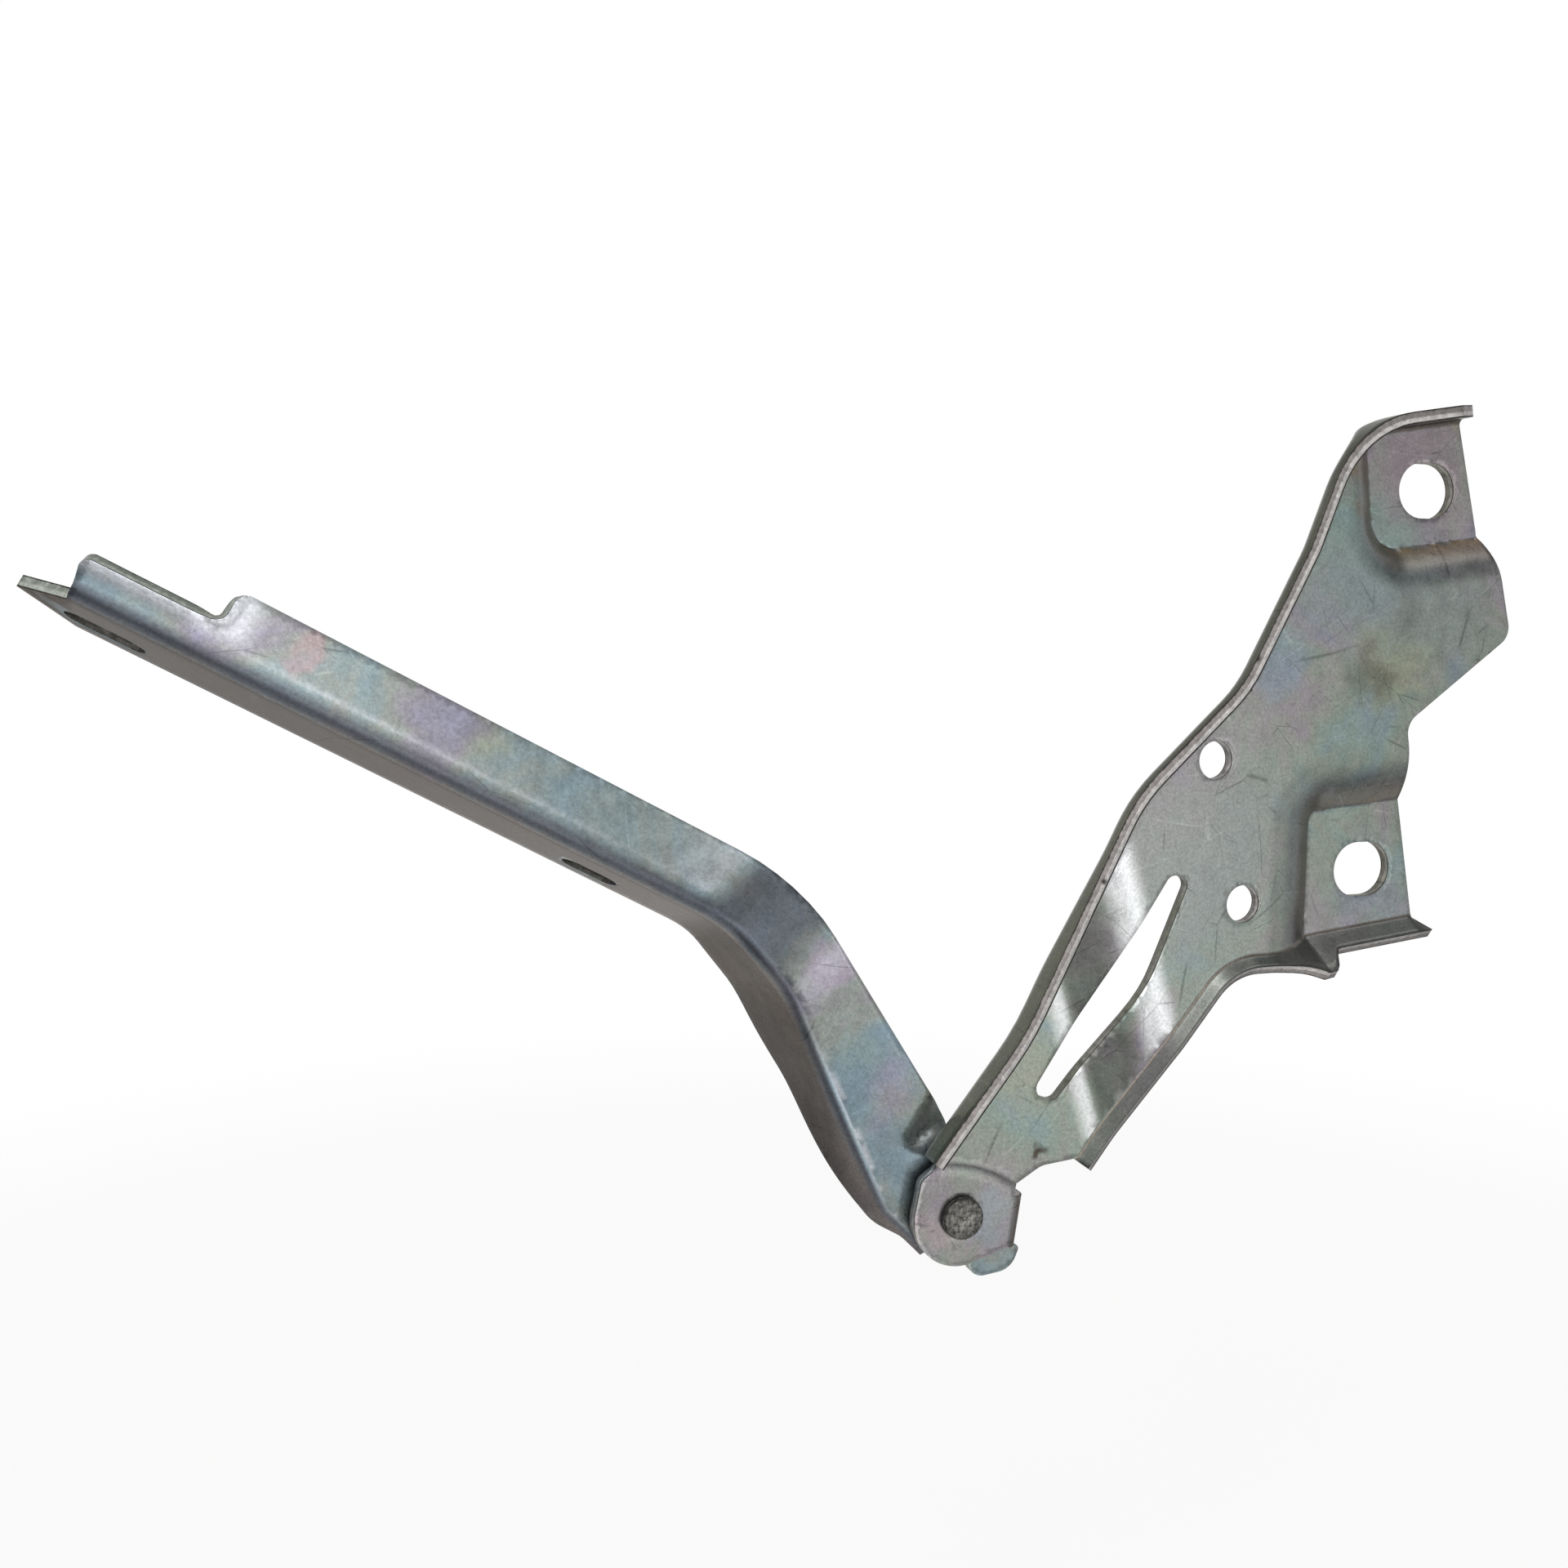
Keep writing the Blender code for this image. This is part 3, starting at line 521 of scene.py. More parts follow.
def pressed_sheet(name, mesh, thickness, face_metal, edge_metal, punches=()):
    """The finished stamping: thickened, its slots pierced, its edges rolled over a little.

    The attribute across runs from 1 to -1 through the sheet, for the look of its cut edges.
    """
    bmesh.ops.remove_doubles(mesh, verts=mesh.verts[:], dist=WELD * MM)
    bmesh.ops.recalc_face_normals(mesh, faces=mesh.faces[:])
    count = len(mesh.verts)
    sheet_mesh = bpy.data.meshes.new(name)
    mesh.to_mesh(sheet_mesh)
    mesh.free()
    sheet_mesh.materials.append(face_metal)
    sheet_mesh.materials.append(edge_metal)
    thing = bpy.data.objects.new(name, sheet_mesh)
    scene.collection.objects.link(thing)
    shell = thing.modifiers.new("Sheet", "SOLIDIFY")
    shell.thickness = thickness * MM
    shell.offset = 0.0
    shell.use_even_offset = True
    shell.material_offset_rim = 1
    baked(thing)
    through = thing.data.attributes.new("across", "FLOAT", "POINT")
    through.data.foreach_set("value", np.where(np.arange(len(thing.data.vertices)) < count, 1.0, -1.0))
    for punch in punches:
        pierce = thing.modifiers.new("Slot", "BOOLEAN")
        pierce.operation = "DIFFERENCE"
        pierce.object = punch
        pierce.material_mode = "TRANSFER"
    rolled = thing.modifiers.new("Rolled edge", "BEVEL")
    rolled.width = ROLLED_EDGE * MM
    rolled.segments = 2
    rolled.limit_method = "ANGLE"
    rolled.angle_limit = math.radians(ROLLED_ANGLE)
    rolled.harden_normals = True
    rolled.material = 0
    baked(thing)
    thing.data.shade_smooth()
    return thing


upper_seat = rounded([(-12.5, 125.0, 0), (-6.2, 68.0, 14), (42.0, 74.5, 0)])
lower_seat = rounded([(30.0, 29.0, 0), (-26.0, 24.0, 13), (-27.0, -40.0, 0)])
neck_line = rounded([(-84.2, 60.0, 0), (-43.9, -72.0, 0)])
step_middle = PIVOT + complex(-0.297, -0.955) * (STEP_RADIUS - WASHER_OUTER - FIT_GAP - STEP_SLOPE)


def down_neck(places):
    """How far places lie down the neck's slope, from 0 at its upper bend to 1 at its lower one."""
    return -distance_left(neck_line, places) / NECK_SLOPE


def bracket_level(places):
    """Depth of the middle of the bracket's sheet."""
    upper = drawn((distance_left(upper_seat, places) + SEAT_SOFTNESS) / (UPPER_SEAT_SLOPE + SEAT_SOFTNESS))
    lower = drawn((distance_left(lower_seat, places) + SEAT_SOFTNESS) / (LOWER_SEAT_SLOPE + SEAT_SOFTNESS))
    raised = ease((STEP_RADIUS - abs(places - step_middle)) / STEP_SLOPE)
    return (PLATE_MIDDLE + SEAT_DEPTH * np.maximum(upper, lower) + NECK_DROP * straight(down_neck(places))
            - PIVOT_RAISE * raised)


def bracket_highlight_and_shade(places):
    """The neck's slope: painted highlights at both its bends, most at the upper one, and painted shade between
    them.
    """
    return np.interp(down_neck(places), [-0.1, 0.04, 0.2, 0.46, 0.82, 0.93, 1.0, 1.12],
                     [0, 0.95, 0.9, -0.9, -0.9, 0.85, 0.7, 0])


long_flange = rounded([(-115.8, -57.6, 0), (-94.6, -31.2, 60), (-67.9, 20.6, 40), (-41.0, 45.0, 30),
                       (-24.0, 76.2, 30), (-12.4, 105.0, 28), (23.4, 110.7, 0)])
long_root = offset_line(spaced(long_flange, GRAIN), -BRACKET_BEND - BRACKET_SHEET / 2)
lower_root = spaced(rounded([(14.9, -11.5, 0), (-14.5, -14.6, 20), (-26.5, -17.2, 30), (-42.0, -17.2, 18),
                             (-58.8, -37.4, 60), (-78.5, -62.5, 0)]), GRAIN)
tab_face = PIVOT + np.array([16.2 + 2.6j, 14.35 - 9.0j])
tab_root = offset_line(spaced(tab_face, GRAIN), -TAB_BEND - BRACKET_SHEET / 2)
pad_edge = np.concatenate((tab_root[-1:], arc(PIVOT, PAD_RADIUS, -68, -197)))
bracket_outline = joined([
    long_root,
    rounded([corner_at(long_root[-1]), (36.2, 56.2, 4.5), (6.6, 35.3, 5), corner_at(lower_root[0])]),
    lower_root,
    rounded([corner_at(lower_root[-1]), (-86.8, -63.2, 6), (-93.4, -66.9, 1.5), corner_at(tab_root[0])]),
    tab_root,
    pad_edge,
    rounded([corner_at(pad_edge[-1]), (-116.4, -63.4, 2), corner_at(long_root[0])])])
neck_slot = rounded([(-56.9, 2.0, 2.3), (-51.4, 1.2, 2.3), (-62.8, -24.8, 45), (-83.8, -48.8, 2.4),
                     (-89.6, -46.4, 2.4)], closed=True)
bracket_holes = [obround(middle, *BOLT_HOLE) for middle in BOLT_HOLES]
bracket_holes += [circle(middle, GAUGE_HOLE) for middle in GAUGE_HOLES]
bracket_holes += [joined([np.append(neck_slot, neck_slot[0])]), circle(PIVOT, PIVOT_HOLE)]
bracket_rows = np.concatenate((slope_rows(arc(step_middle, STEP_RADIUS, 48, 117), STEP_SLOPE),
                               slope_rows(upper_seat, UPPER_SEAT_SLOPE),
                               slope_rows(lower_seat, LOWER_SEAT_SLOPE)))
plate = blank()
fill(plate, bracket_outline, bracket_holes, bracket_rows, bracket_level, bracket_highlight_and_shade)

from_end = abs(long_root - long_root[-1])
long_edges = PLATE_MIDDLE - LONG_FLANGE_DEPTH * np.clip(from_end / LONG_FLANGE_RUNOUT, 0, 1)
fold(plate, long_root, bracket_level, BRACKET_BEND, -1, LONG_FLANGE_ANGLE, long_edges)
lower_edges = PLATE_MIDDLE - LOWER_FLANGE_DEPTH + NECK_DROP * straight(down_neck(lower_root))
lip = ease((lower_root.real - LIP_START) / LIP_SLOPE)
lower_edges += (SEAT_MIDDLE - LIP_DEPTH - lower_edges) * lip
fold(plate, lower_root, bracket_level, BRACKET_BEND, -1, LOWER_FLANGE_ANGLE, lower_edges,
     run_before=LOWER_FLANGE_RUN, side=-1)
fold(plate, tab_root, bracket_level, TAB_BEND, 1, LONG_FLANGE_ANGLE, TAB_EDGE, side=-1)

# The zinc's patterns, in millimetres: the film's slow patches, the waver of a tinted patch's rim and how
# far it goes, the cloudy passivation, and the zinc's crystals. Real crystals are under 0.1 mm across,
# and are drawn coarser so that they show.
FILM_PATCH = 29.41
RIM_WAVER = 11.11
RIM_REACH = 22.0
ZINC_CLOUD = 4.348
ZINC_CRYSTAL = 0.6667
ZINC_RELIEF = 0.05
ZINC_ROUGHNESS = 0.28
GLOSS_WAVER = (-0.04, 0.06)
# Where a bend's painted shade begins to show, and where it is full.
BEND_SHADE_SHOWS = (0.06, 0.4)
# Between these two a noise does most of its varying.
LOW, HIGH = 0.3, 0.7
# Scratches bow over this length by this much, are drawn out along their heading and broken by a noise.
# They are given as (heading, spacing, width), about 0.1 mm wide, twice the real width, so that they show.
SCRATCH_BOW = 41.67
SCRATCH_BEND = 7.0
SCRATCH_STRETCH = 0.36
SCRATCH_BREAK = 1.7
SCRATCH_KEPT = (0.54, 0.64)


def per_metre(size):
    """Scale of a pattern from its real size in millimetres."""
    return 1 / (size * MM)


def started(name):
    """A new material, with its node tree, its shader and the coordinates of its piece."""
    material = bpy.data.materials.new(name)
    material.use_nodes = True
    tree = material.node_tree
    spot = add(tree, "ShaderNodeTexCoord").node.outputs["Object"]
    return material, tree, tree.nodes["Principled BSDF"], spot


def finished(tree, shader, colour, metallic, roughness, height=None, strength=0.0, relief=0.0):
    """Gives a metal its colour and gloss, and the relief of a pattern, in millimetres."""
    tree.links.new(colour, shader.inputs["Base Color"])
    shader.inputs["Metallic"].default_value = metallic
    shader.inputs["Roughness"].default_value = roughness
    if height is not None:
        bump = add(tree, "ShaderNodeBump", {"Height": height, "Strength": strength, "Distance": relief * MM})
        tree.links.new(bump, shader.inputs["Normal"])


def tinted(stops):
    """Stops of a ramp from (place, hex code)."""
    return [(place, linear(code)) for place, code in stops]


def hairlines(tree, spot, strokes):
    """Fine scratches: edges of cells drawn out along some headings, bowed and broken, 1 in a scratch."""
    bow = add(tree, "ShaderNodeTexNoise", {"Vector": spot, "Scale": per_metre(SCRATCH_BOW), "Detail": 1.0})
    bowed = add(tree, "ShaderNodeVectorMath", {0: bow.node.outputs["Color"], 1: [SCRATCH_BEND * MM] * 3,
                                               2: spot}, operation="MULTIPLY_ADD")
    scratch = None
    for heading, spacing, width in strokes:
        scale = per_metre(spacing)
        along = add(tree, "ShaderNodeVectorRotate", {"Vector": bowed, "Angle": math.radians(heading)},
                    rotation_type="Y_AXIS")
        along = add(tree, "ShaderNodeVectorMath", {0: along, 1: (scale, 0.0, SCRATCH_STRETCH * scale)},
                    operation="MULTIPLY")
        away = add(tree, "ShaderNodeTexVoronoi", {"Vector": along, "Scale": 1.0}, feature="DISTANCE_TO_EDGE")
        line = add(tree, "ShaderNodeMapRange", {0: away, 1: 0.0, 2: width / spacing, 3: 1.0, 4: 0.0})
        moved = add(tree, "ShaderNodeVectorMath", {0: along, 1: (heading, 0.0, 5.0)}, operation="ADD")
        breaks = add(tree, "ShaderNodeTexNoise", {"Vector": moved, "Scale": SCRATCH_BREAK, "Detail": 1.0})
        kept = add(tree, "ShaderNodeMapRange", {0: breaks, 1: SCRATCH_KEPT[0], 2: SCRATCH_KEPT[1]})
        line = add(tree, "ShaderNodeMath", {0: line, 1: kept}, operation="MULTIPLY")
        if scratch is not None:
            line = add(tree, "ShaderNodeMath", {0: scratch, 1: line}, operation="MAXIMUM")
        scratch = line
    return scratch


def patched(tree, colour, spot, patches):
    """The colour with soft tinted patches (x, z, reach, tint, strength), the first three in millimetres."""
    flat_spot = add(tree, "ShaderNodeVectorMath", {0: spot, 1: (1.0, 0.0, 1.0)}, operation="MULTIPLY")
    for x, z, reach, tint, strength in patches:
        off = add(tree, "ShaderNodeVectorMath", {0: flat_spot, 1: (x * MM, 0.0, z * MM)},
                  operation="DISTANCE")
        share = add(tree, "ShaderNodeMapRange", {0: off.node.outputs["Value"], 1: reach * MM,
                                                 2: 0.2 * reach * MM, 3: 0.0, 4: strength},
                    interpolation_type="SMOOTHSTEP")
        colour = add(tree, "ShaderNodeMix", {0: share, 6: colour, 7: linear(tint)}, data_type="RGBA")
    return colour


def zinc_plate(name, film_tints, patches, bend_shade_tints, bend_shade_strength, light_and_shade_tints, scratches):
    """Zinc plating under a clear passivation film: grey metal with a fine satin grain, over which the
    film draws slow patches of green, blue, lavender and yellow. It takes painted shade on its slopes and
    bends, painted tints on its walls for light and shade, and painted highlights and shade."""
    material, tree, shader, spot = started(name)
    film = add(tree, "ShaderNodeTexNoise", {"Vector": spot, "Scale": per_metre(FILM_PATCH), "Detail": 5.0,
                                            "Roughness": 0.6, "Distortion": 0.6})
    colour = add(tree, "ShaderNodeValToRGB", {0: film}, stops=tinted(film_tints))
    wander = add(tree, "ShaderNodeTexNoise", {"Vector": spot, "Scale": per_metre(RIM_WAVER), "Detail": 3.0})
    wander = add(tree, "ShaderNodeVectorMath", {0: wander.node.outputs["Color"], 1: (0.5, 0.5, 0.5)},
                 operation="SUBTRACT")
    wander = add(tree, "ShaderNodeVectorMath", {0: wander, "Scale": RIM_REACH * MM}, operation="SCALE")
    wander = add(tree, "ShaderNodeVectorMath", {0: spot, 1: wander}, operation="ADD")
    colour = patched(tree, colour, wander, patches)
    # Painted shade on slopes and bends, through the ramp's tints.
    slope_shade = add(tree, "ShaderNodeAttribute", attribute_name="slope_shade").node.outputs["Fac"]
    bend_shade = add(tree, "ShaderNodeValToRGB", {0: slope_shade}, stops=tinted(bend_shade_tints))
    slope_shade = add(tree, "ShaderNodeMapRange", {0: slope_shade, 1: BEND_SHADE_SHOWS[0], 2: BEND_SHADE_SHOWS[1], 4: bend_shade_strength})
    colour = add(tree, "ShaderNodeMix", {0: slope_shade, 6: colour, 7: bend_shade}, data_type="RGBA")
    # Painted tints: walls in the light and in shade, painted highlights and painted shade.
    for layer, tint, strength in light_and_shade_tints:
        share = add(tree, "ShaderNodeAttribute", attribute_name=layer).node.outputs["Fac"]
        share = add(tree, "ShaderNodeMath", {0: share, 1: strength}, operation="MULTIPLY", use_clamp=True)
        colour = add(tree, "ShaderNodeMix", {0: share, 6: colour, 7: linear(tint)}, data_type="RGBA")
    cloud = add(tree, "ShaderNodeTexNoise", {"Vector": spot, "Scale": per_metre(ZINC_CLOUD),
                                             "Detail": 5.0, "Roughness": 0.62})
    crystals = add(tree, "ShaderNodeTexNoise", {"Vector": spot, "Scale": per_metre(ZINC_CRYSTAL),
                                                "Detail": 3.0, "Roughness": 0.7})
    hazy = add(tree, "ShaderNodeMapRange", {0: cloud, 1: LOW, 2: HIGH, 3: 0.88, 4: 1.12})
    speck = add(tree, "ShaderNodeMapRange", {0: crystals, 1: LOW, 2: HIGH, 3: 0.8, 4: 1.2})
    shade = add(tree, "ShaderNodeMath", {0: hazy, 1: speck}, operation="MULTIPLY")
    for strokes, level in scratches:
        worn = add(tree, "ShaderNodeMapRange", {0: hairlines(tree, spot, strokes), 3: 1.0, 4: level})
        shade = add(tree, "ShaderNodeMath", {0: shade, 1: worn}, operation="MULTIPLY")
    colour = add(tree, "ShaderNodeVectorMath", {0: colour, "Scale": shade}, operation="SCALE")
    finished(tree, shader, colour, 0.92, ZINC_ROUGHNESS, crystals, 0.3, ZINC_RELIEF)
    gloss = add(tree, "ShaderNodeMapRange", {0: cloud, 1: LOW, 2: HIGH, 3: ZINC_ROUGHNESS + GLOSS_WAVER[0],
                                             4: ZINC_ROUGHNESS + GLOSS_WAVER[1]})
    tree.links.new(gloss, shader.inputs["Roughness"])
    return material


# A cut edge's torn streaks and their relief, in millimetres, and the painted shade of the dark lines along its
# # rolled corners. Real streaks are about 0.2 mm wide, and are drawn coarser so that they show.
TEAR_WIDTH = 1.111
TEAR_RELIEF = 0.1
CORNER_SHADE = "#34322F"


def sheared_edge(name, burnished, torn, patches=()):
    """The blanked edge of a sheet: a burnished band where the punch slid, then torn steel, both thinly
    plated, between dark lines of painted shade along its two rolled corners. Its patches can darken hole
    walls with painted shade, and a dark notch marks each end of a cut."""
    material, tree, shader, spot = started(name)
    through = add(tree, "ShaderNodeAttribute", attribute_name="across").node.outputs["Fac"]
    tears = add(tree, "ShaderNodeTexNoise", {"Vector": spot, "Scale": per_metre(TEAR_WIDTH), "Detail": 4.0,
                                             "Roughness": 0.65})
    uneven = add(tree, "ShaderNodeMapRange", {0: tears, 1: LOW, 2: HIGH, 3: -0.07, 4: 0.07})
    through = add(tree, "ShaderNodeMath", {0: through, 1: uneven}, operation="ADD")
    through = add(tree, "ShaderNodeMapRange", {0: through, 1: -1.0, 2: 1.0})
    colour = add(tree, "ShaderNodeValToRGB", {0: through},
                 stops=tinted([(0.07, CORNER_SHADE), (0.15, torn), (0.48, torn), (0.56, burnished),
                               (0.84, burnished), (0.91, CORNER_SHADE)]))
    colour = patched(tree, colour, spot, patches)
    shade = add(tree, "ShaderNodeMapRange", {0: tears, 1: LOW, 2: HIGH, 3: 0.66, 4: 1.3})
    colour = add(tree, "ShaderNodeVectorMath", {0: colour, "Scale": shade}, operation="SCALE")
    finished(tree, shader, colour, 0.85, 0.42, tears, 0.5, TEAR_RELIEF)
    return material


bracket_zinc = zinc_plate(
    "clear passivated zinc plate",
    film_tints=[(0.30, "#82919A"), (0.40, "#86958F"), (0.48, "#8C948A"), (0.54, "#91918E"), (0.60, "#928C91"),
                (0.70, "#89889A")],
    patches=[(-52.0, 10.0, 46.0, "#959595", 0.65), (-4.0, 72.0, 30.0, "#7F9392", 0.65),
             (14.0, 60.0, 24.0, "#868F8C", 0.6), (-30.0, 52.0, 12.0, "#7C93A0", 0.5),
             (-92.0, -38.0, 16.0, "#96988A", 0.6), (2.0, 47.0, 15.0, "#95987F", 0.55),
             (-112.0, -76.0, 10.0, "#ABA0A2", 0.8), (-102.0, -72.0, 8.0, "#949EA4", 0.6),
             (14.0, 96.0, 22.0, "#93878E", 0.75), (4.0, -4.0, 18.0, "#84949A", 0.5),
             (22.0, 44.0, 9.0, "#7F8A9A", 0.5), (-3.8, 45.3, 9.0, "#4E4A44", 0.5),
             (8.0, 62.0, 7.0, "#6B675F", 0.35), (-86.5, -61.5, 2.6, "#3B2A20", 0.85),
             (29.7, 52.0, 1.8, "#3A3836", 0.8), (-9.5, 106.0, 5.5, "#8C7350", 0.6),
             (-8.2, 95.0, 6.0, "#8C7350", 0.6), (-6.0, 84.0, 5.0, "#8A765A", 0.5),
             (8.0, 108.0, 6.0, "#8D8566", 0.5), (22.0, 109.0, 6.0, "#8D8566", 0.5)],
    # The painted shade of bends and slopes: darker, and amber at the steepest.
    bend_shade_tints=[(0.1, "#7E838C"), (0.4, "#72706E"), (0.75, "#75695C"), (1.0, "#8C7350")], bend_shade_strength=0.8,
    # Walls take painted shade, olive in the light and grey in shade; painted highlights near white, painted
    # shade dark grey.
    light_and_shade_tints=[("wall_light_and_shade", "#66675A", 0.9), ("wall_light_and_shade", "#5A5B58", -0.85), ("highlight_and_shade", "#ECEEEF", 0.9),
                ("highlight_and_shade", "#575855", -0.75)],
    scratches=[([(12.0, 11.11, 0.111), (57.0, 13.33, 0.107), (128.0, 14.29, 0.114)], 0.55),
               ([(95.0, 12.5, 0.1125), (163.0, 10.0, 0.1)], 1.3)])
bracket_edge = sheared_edge(
    "sheared steel edge", "#BDBAB8", "#8C8785",
    # The olive patches paint shade on the walls of the bolt holes and round the neck's slot; the two small
    # dark ones are notches.
    [(-75.7, 1.8, 1.1, "#33302D", 0.9), (-37.6, 50.8, 1.1, "#33302D", 0.9), (0.0, 0.0, 13.0, "#67684C", 0.85),
     (15.1, 90.8, 13.0, "#67684C", 0.85), (-56.0, -10.0, 17.0, "#6A6C5C", 0.8),
     (-66.0, -28.0, 15.0, "#6A6C5C", 0.8), (-80.0, -44.0, 13.0, "#6A6C5C", 0.8)])
bracket = pressed_sheet("bracket_stamping", plate, BRACKET_SHEET, bracket_zinc, bracket_edge)
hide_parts("body_bracket")
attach(bracket, "bracket")


# Hood arm: one stamping of 2.5 mm steel, cranked in its own plane and folded to an angle section, then
# plated as the bracket is. Its flange is bolted to the hood, and its eye turns on the rivet until its
# ear meets the bracket's tab.
ARM_SHEET = 2.5
ARM_BEND = 2.2
ARM_FLANGE_ANGLE = 76.5
LEAST_FOLD = 28.0
FOLD_TAPER = 48.0
FLANGE_TAPER = 68.0
FLANGE_END_SLANT = 9.7
FLANGE_END_ROUND = 9.5
FLANGE_DEPTH = 21.0
WASHER_SHEET = 0.8
EYE_HOLE = 13.2
POCKET_DEPTH = 1.4
POCKET_SLOPE = 6.0
JOGGLE = 2.0
JOGGLE_SLOPE = 17.0
TONGUE_NOTCH = complex(-256.6, 57.9)
LEAN = 2.0
LEAN_START = 8.0
LEAN_FROM = 0.8
LEAN_RISE = 5.2
LEAN_MOST = 1.3
HOOD_SLOTS = [(7.1, 16.0), (112.6, 13.0)]
HOOD_SLOT_WIDTH = 6.6
HOOD_SLOT_DEPTH = 14.0
PUNCH_REACH = 10.0
# The painted highlight on the pocket's wall, and on the tongue: from which height, over which rise, how far
# past it.
POCKET_HIGHLIGHT = 1.8
TONGUE_HIGHLIGHT_FROM = 2.2
TONGUE_HIGHLIGHT_RISE = 3.0
TONGUE_HIGHLIGHT_PAST = 6.0
PIVOT_BACK = PLATE_MIDDLE + NECK_DROP - PIVOT_RAISE + BRACKET_SHEET / 2
BOSS_MIDDLE = PIVOT_BACK + WASHER_SHEET + 2 * FIT_GAP + ARM_SHEET / 2
joggle_line = rounded([(-172.0, -38.0, 0), (-112.0, 14.0, 0)])
pocket_line = PIVOT + rounded([(10.0, 13.0, 0), (-1.0, 15.8, 8), (-9.0, 12.0, 5), (-13.6, 16.2, 1.5),
                               (-8.0, 25.4, 3), (-2.0, 34.0, 0)])
arm_root = spaced(rounded([(-113.0, -80.6, 0), (-122.3, -70.6, 10), (-144.0, -18.9, 42), (-157.2, -3.0, 32),
                           (-281.3, 64.55, 0)]), GRAIN)
arm_axis = (arm_root[-1] - arm_root[-2]) / abs(arm_root[-1] - arm_root[-2])
arm_up = -1j * arm_axis
lean_length = ((arm_root[-1] - TONGUE_NOTCH) * arm_axis.conjugate()).real + LEAN_START / 3


def over_arm(places):
    """How high places stand over the arm's root line, and how far they are from its tip."""
    return (((places - arm_root[-1]) * arm_up.conjugate()).real,
            ((arm_root[-1] - places) * arm_axis.conjugate()).real)


def down_joggle(places):
    """How far places lie along the joggle's slope, from 0 at the eye's side to 1 at the crank's."""
    return distance_left(joggle_line, places) / JOGGLE_SLOPE


def in_pocket(places):
    """How far places are sunk in the pocket above the eye, from 0 to 1."""
    return ease(-distance_left(pocket_line, places) / POCKET_SLOPE)


def arm_level(places):
    """Depth of the middle of the arm's sheet."""
    height, from_tip = over_arm(places)
    share = np.clip((height - LEAN_FROM) / LEAN_RISE, 0, LEAN_MOST)
    lean = LEAN * share ** 2 * ease((lean_length - from_tip) / LEAN_START)
    return BOSS_MIDDLE + POCKET_DEPTH * in_pocket(places) + JOGGLE * ease(down_joggle(places)) - lean


def arm_highlight_and_shade(places):
    """Along the arm: painted shade across the joggle and beside the long bend, which has a painted glint above
    it, and painted highlights at both ends of the joggle, round the pocket's wall and on the leaning tongue."""
    height, from_tip = over_arm(places)
    away = -distance_left(arm_root, places)
    sunk = in_pocket(places)
    crank = np.interp(down_joggle(places), [-0.65, -0.4, -0.25, 0.05, 0.3, 1.15, 1.45, 1.7, 2.3],
                      [0, 0.35, 0.3, -0.3, -0.85, -0.85, 0.35, 0.3, 0])
    dark = np.interp(from_tip, [140, 165], [-0.8, 0.0]) * np.interp(away, [0.3, 1.6], [1, 0])
    glint = (np.interp(from_tip, [20, 45, 110, 130], [0, 0.45, 0.25, 0])
             * np.interp(away, [1.4, 2.1, 2.6, 3.6], [0, 1, 0.7, 0]))
    crank = crank * (1 - abs(dark + glint)) + dark + glint + POCKET_HIGHLIGHT * sunk * (1 - sunk)
    tongue = ease((height - TONGUE_HIGHLIGHT_FROM) / TONGUE_HIGHLIGHT_RISE)
    tongue *= ease((lean_length + TONGUE_HIGHLIGHT_PAST - from_tip) / LEAN_START)
    return crank * (1 - tongue) + tongue


eye_edge = arc(PIVOT, 10.0, 80, -32)
low_edge = arc(PIVOT, 11.4, -84, -120)
arm_outline = joined([
    arm_root,
    rounded([corner_at(arm_root[-1]), (-279.3, 70.1, 2), corner_at(TONGUE_NOTCH, 2), (-253.0, 63.6, 3),
             (-142.7, 3.5, 55), (-108.5, -51.8, 9), corner_at(PIVOT + complex(-0.6, 14.0), 2.5),
             corner_at(PIVOT + complex(-0.4, 10.0))]),
    eye_edge,
    rounded([corner_at(eye_edge[-1]), (-95.8, -81.3, 1), (-90.2, -82.6, 1), (-92.4, -87.9, 5),
             (-102.4, -88.9, 4), (-103.6, -83.6, 1), corner_at(low_edge[0])]),
    low_edge])
web = blank()
arm_rows = [offset_line(arm_root, -away) for away in np.arange(1, 7) * 0.9 * GRAIN]
arm_rows = np.concatenate(arm_rows + [slope_rows(pocket_line, -POCKET_SLOPE)])
fill(web, arm_outline, [circle(PIVOT, EYE_HOLE)], arm_rows, arm_level, arm_highlight_and_shade)
travel = abs(arm_root - arm_root[0])
arm_folds = LEAST_FOLD + (ARM_FLANGE_ANGLE - LEAST_FOLD) * ease(travel / FOLD_TAPER)
arm_edges = BOSS_MIDDLE + (FLANGE_DEPTH - BOSS_MIDDLE) * ease(travel / FLANGE_TAPER)
arm_edges[-1] -= FLANGE_END_ROUND
# A painted highlight on the top of the bend near the eye and painted shade beyond it, painted shade in the
# bend's middle, and painted shade on the wall near the eye.
fold(web, arm_root, arm_level, ARM_BEND, 1, arm_folds, arm_edges, run_after=FLANGE_END_SLANT,
     highlights_and_shades=(np.interp(travel, [0, 12, 45, 70], [0.2, 0.7, 0.7, -0.9]), -1.0,
           np.interp(travel, [0, 35, 70], [-0.6, -0.4, 0])))

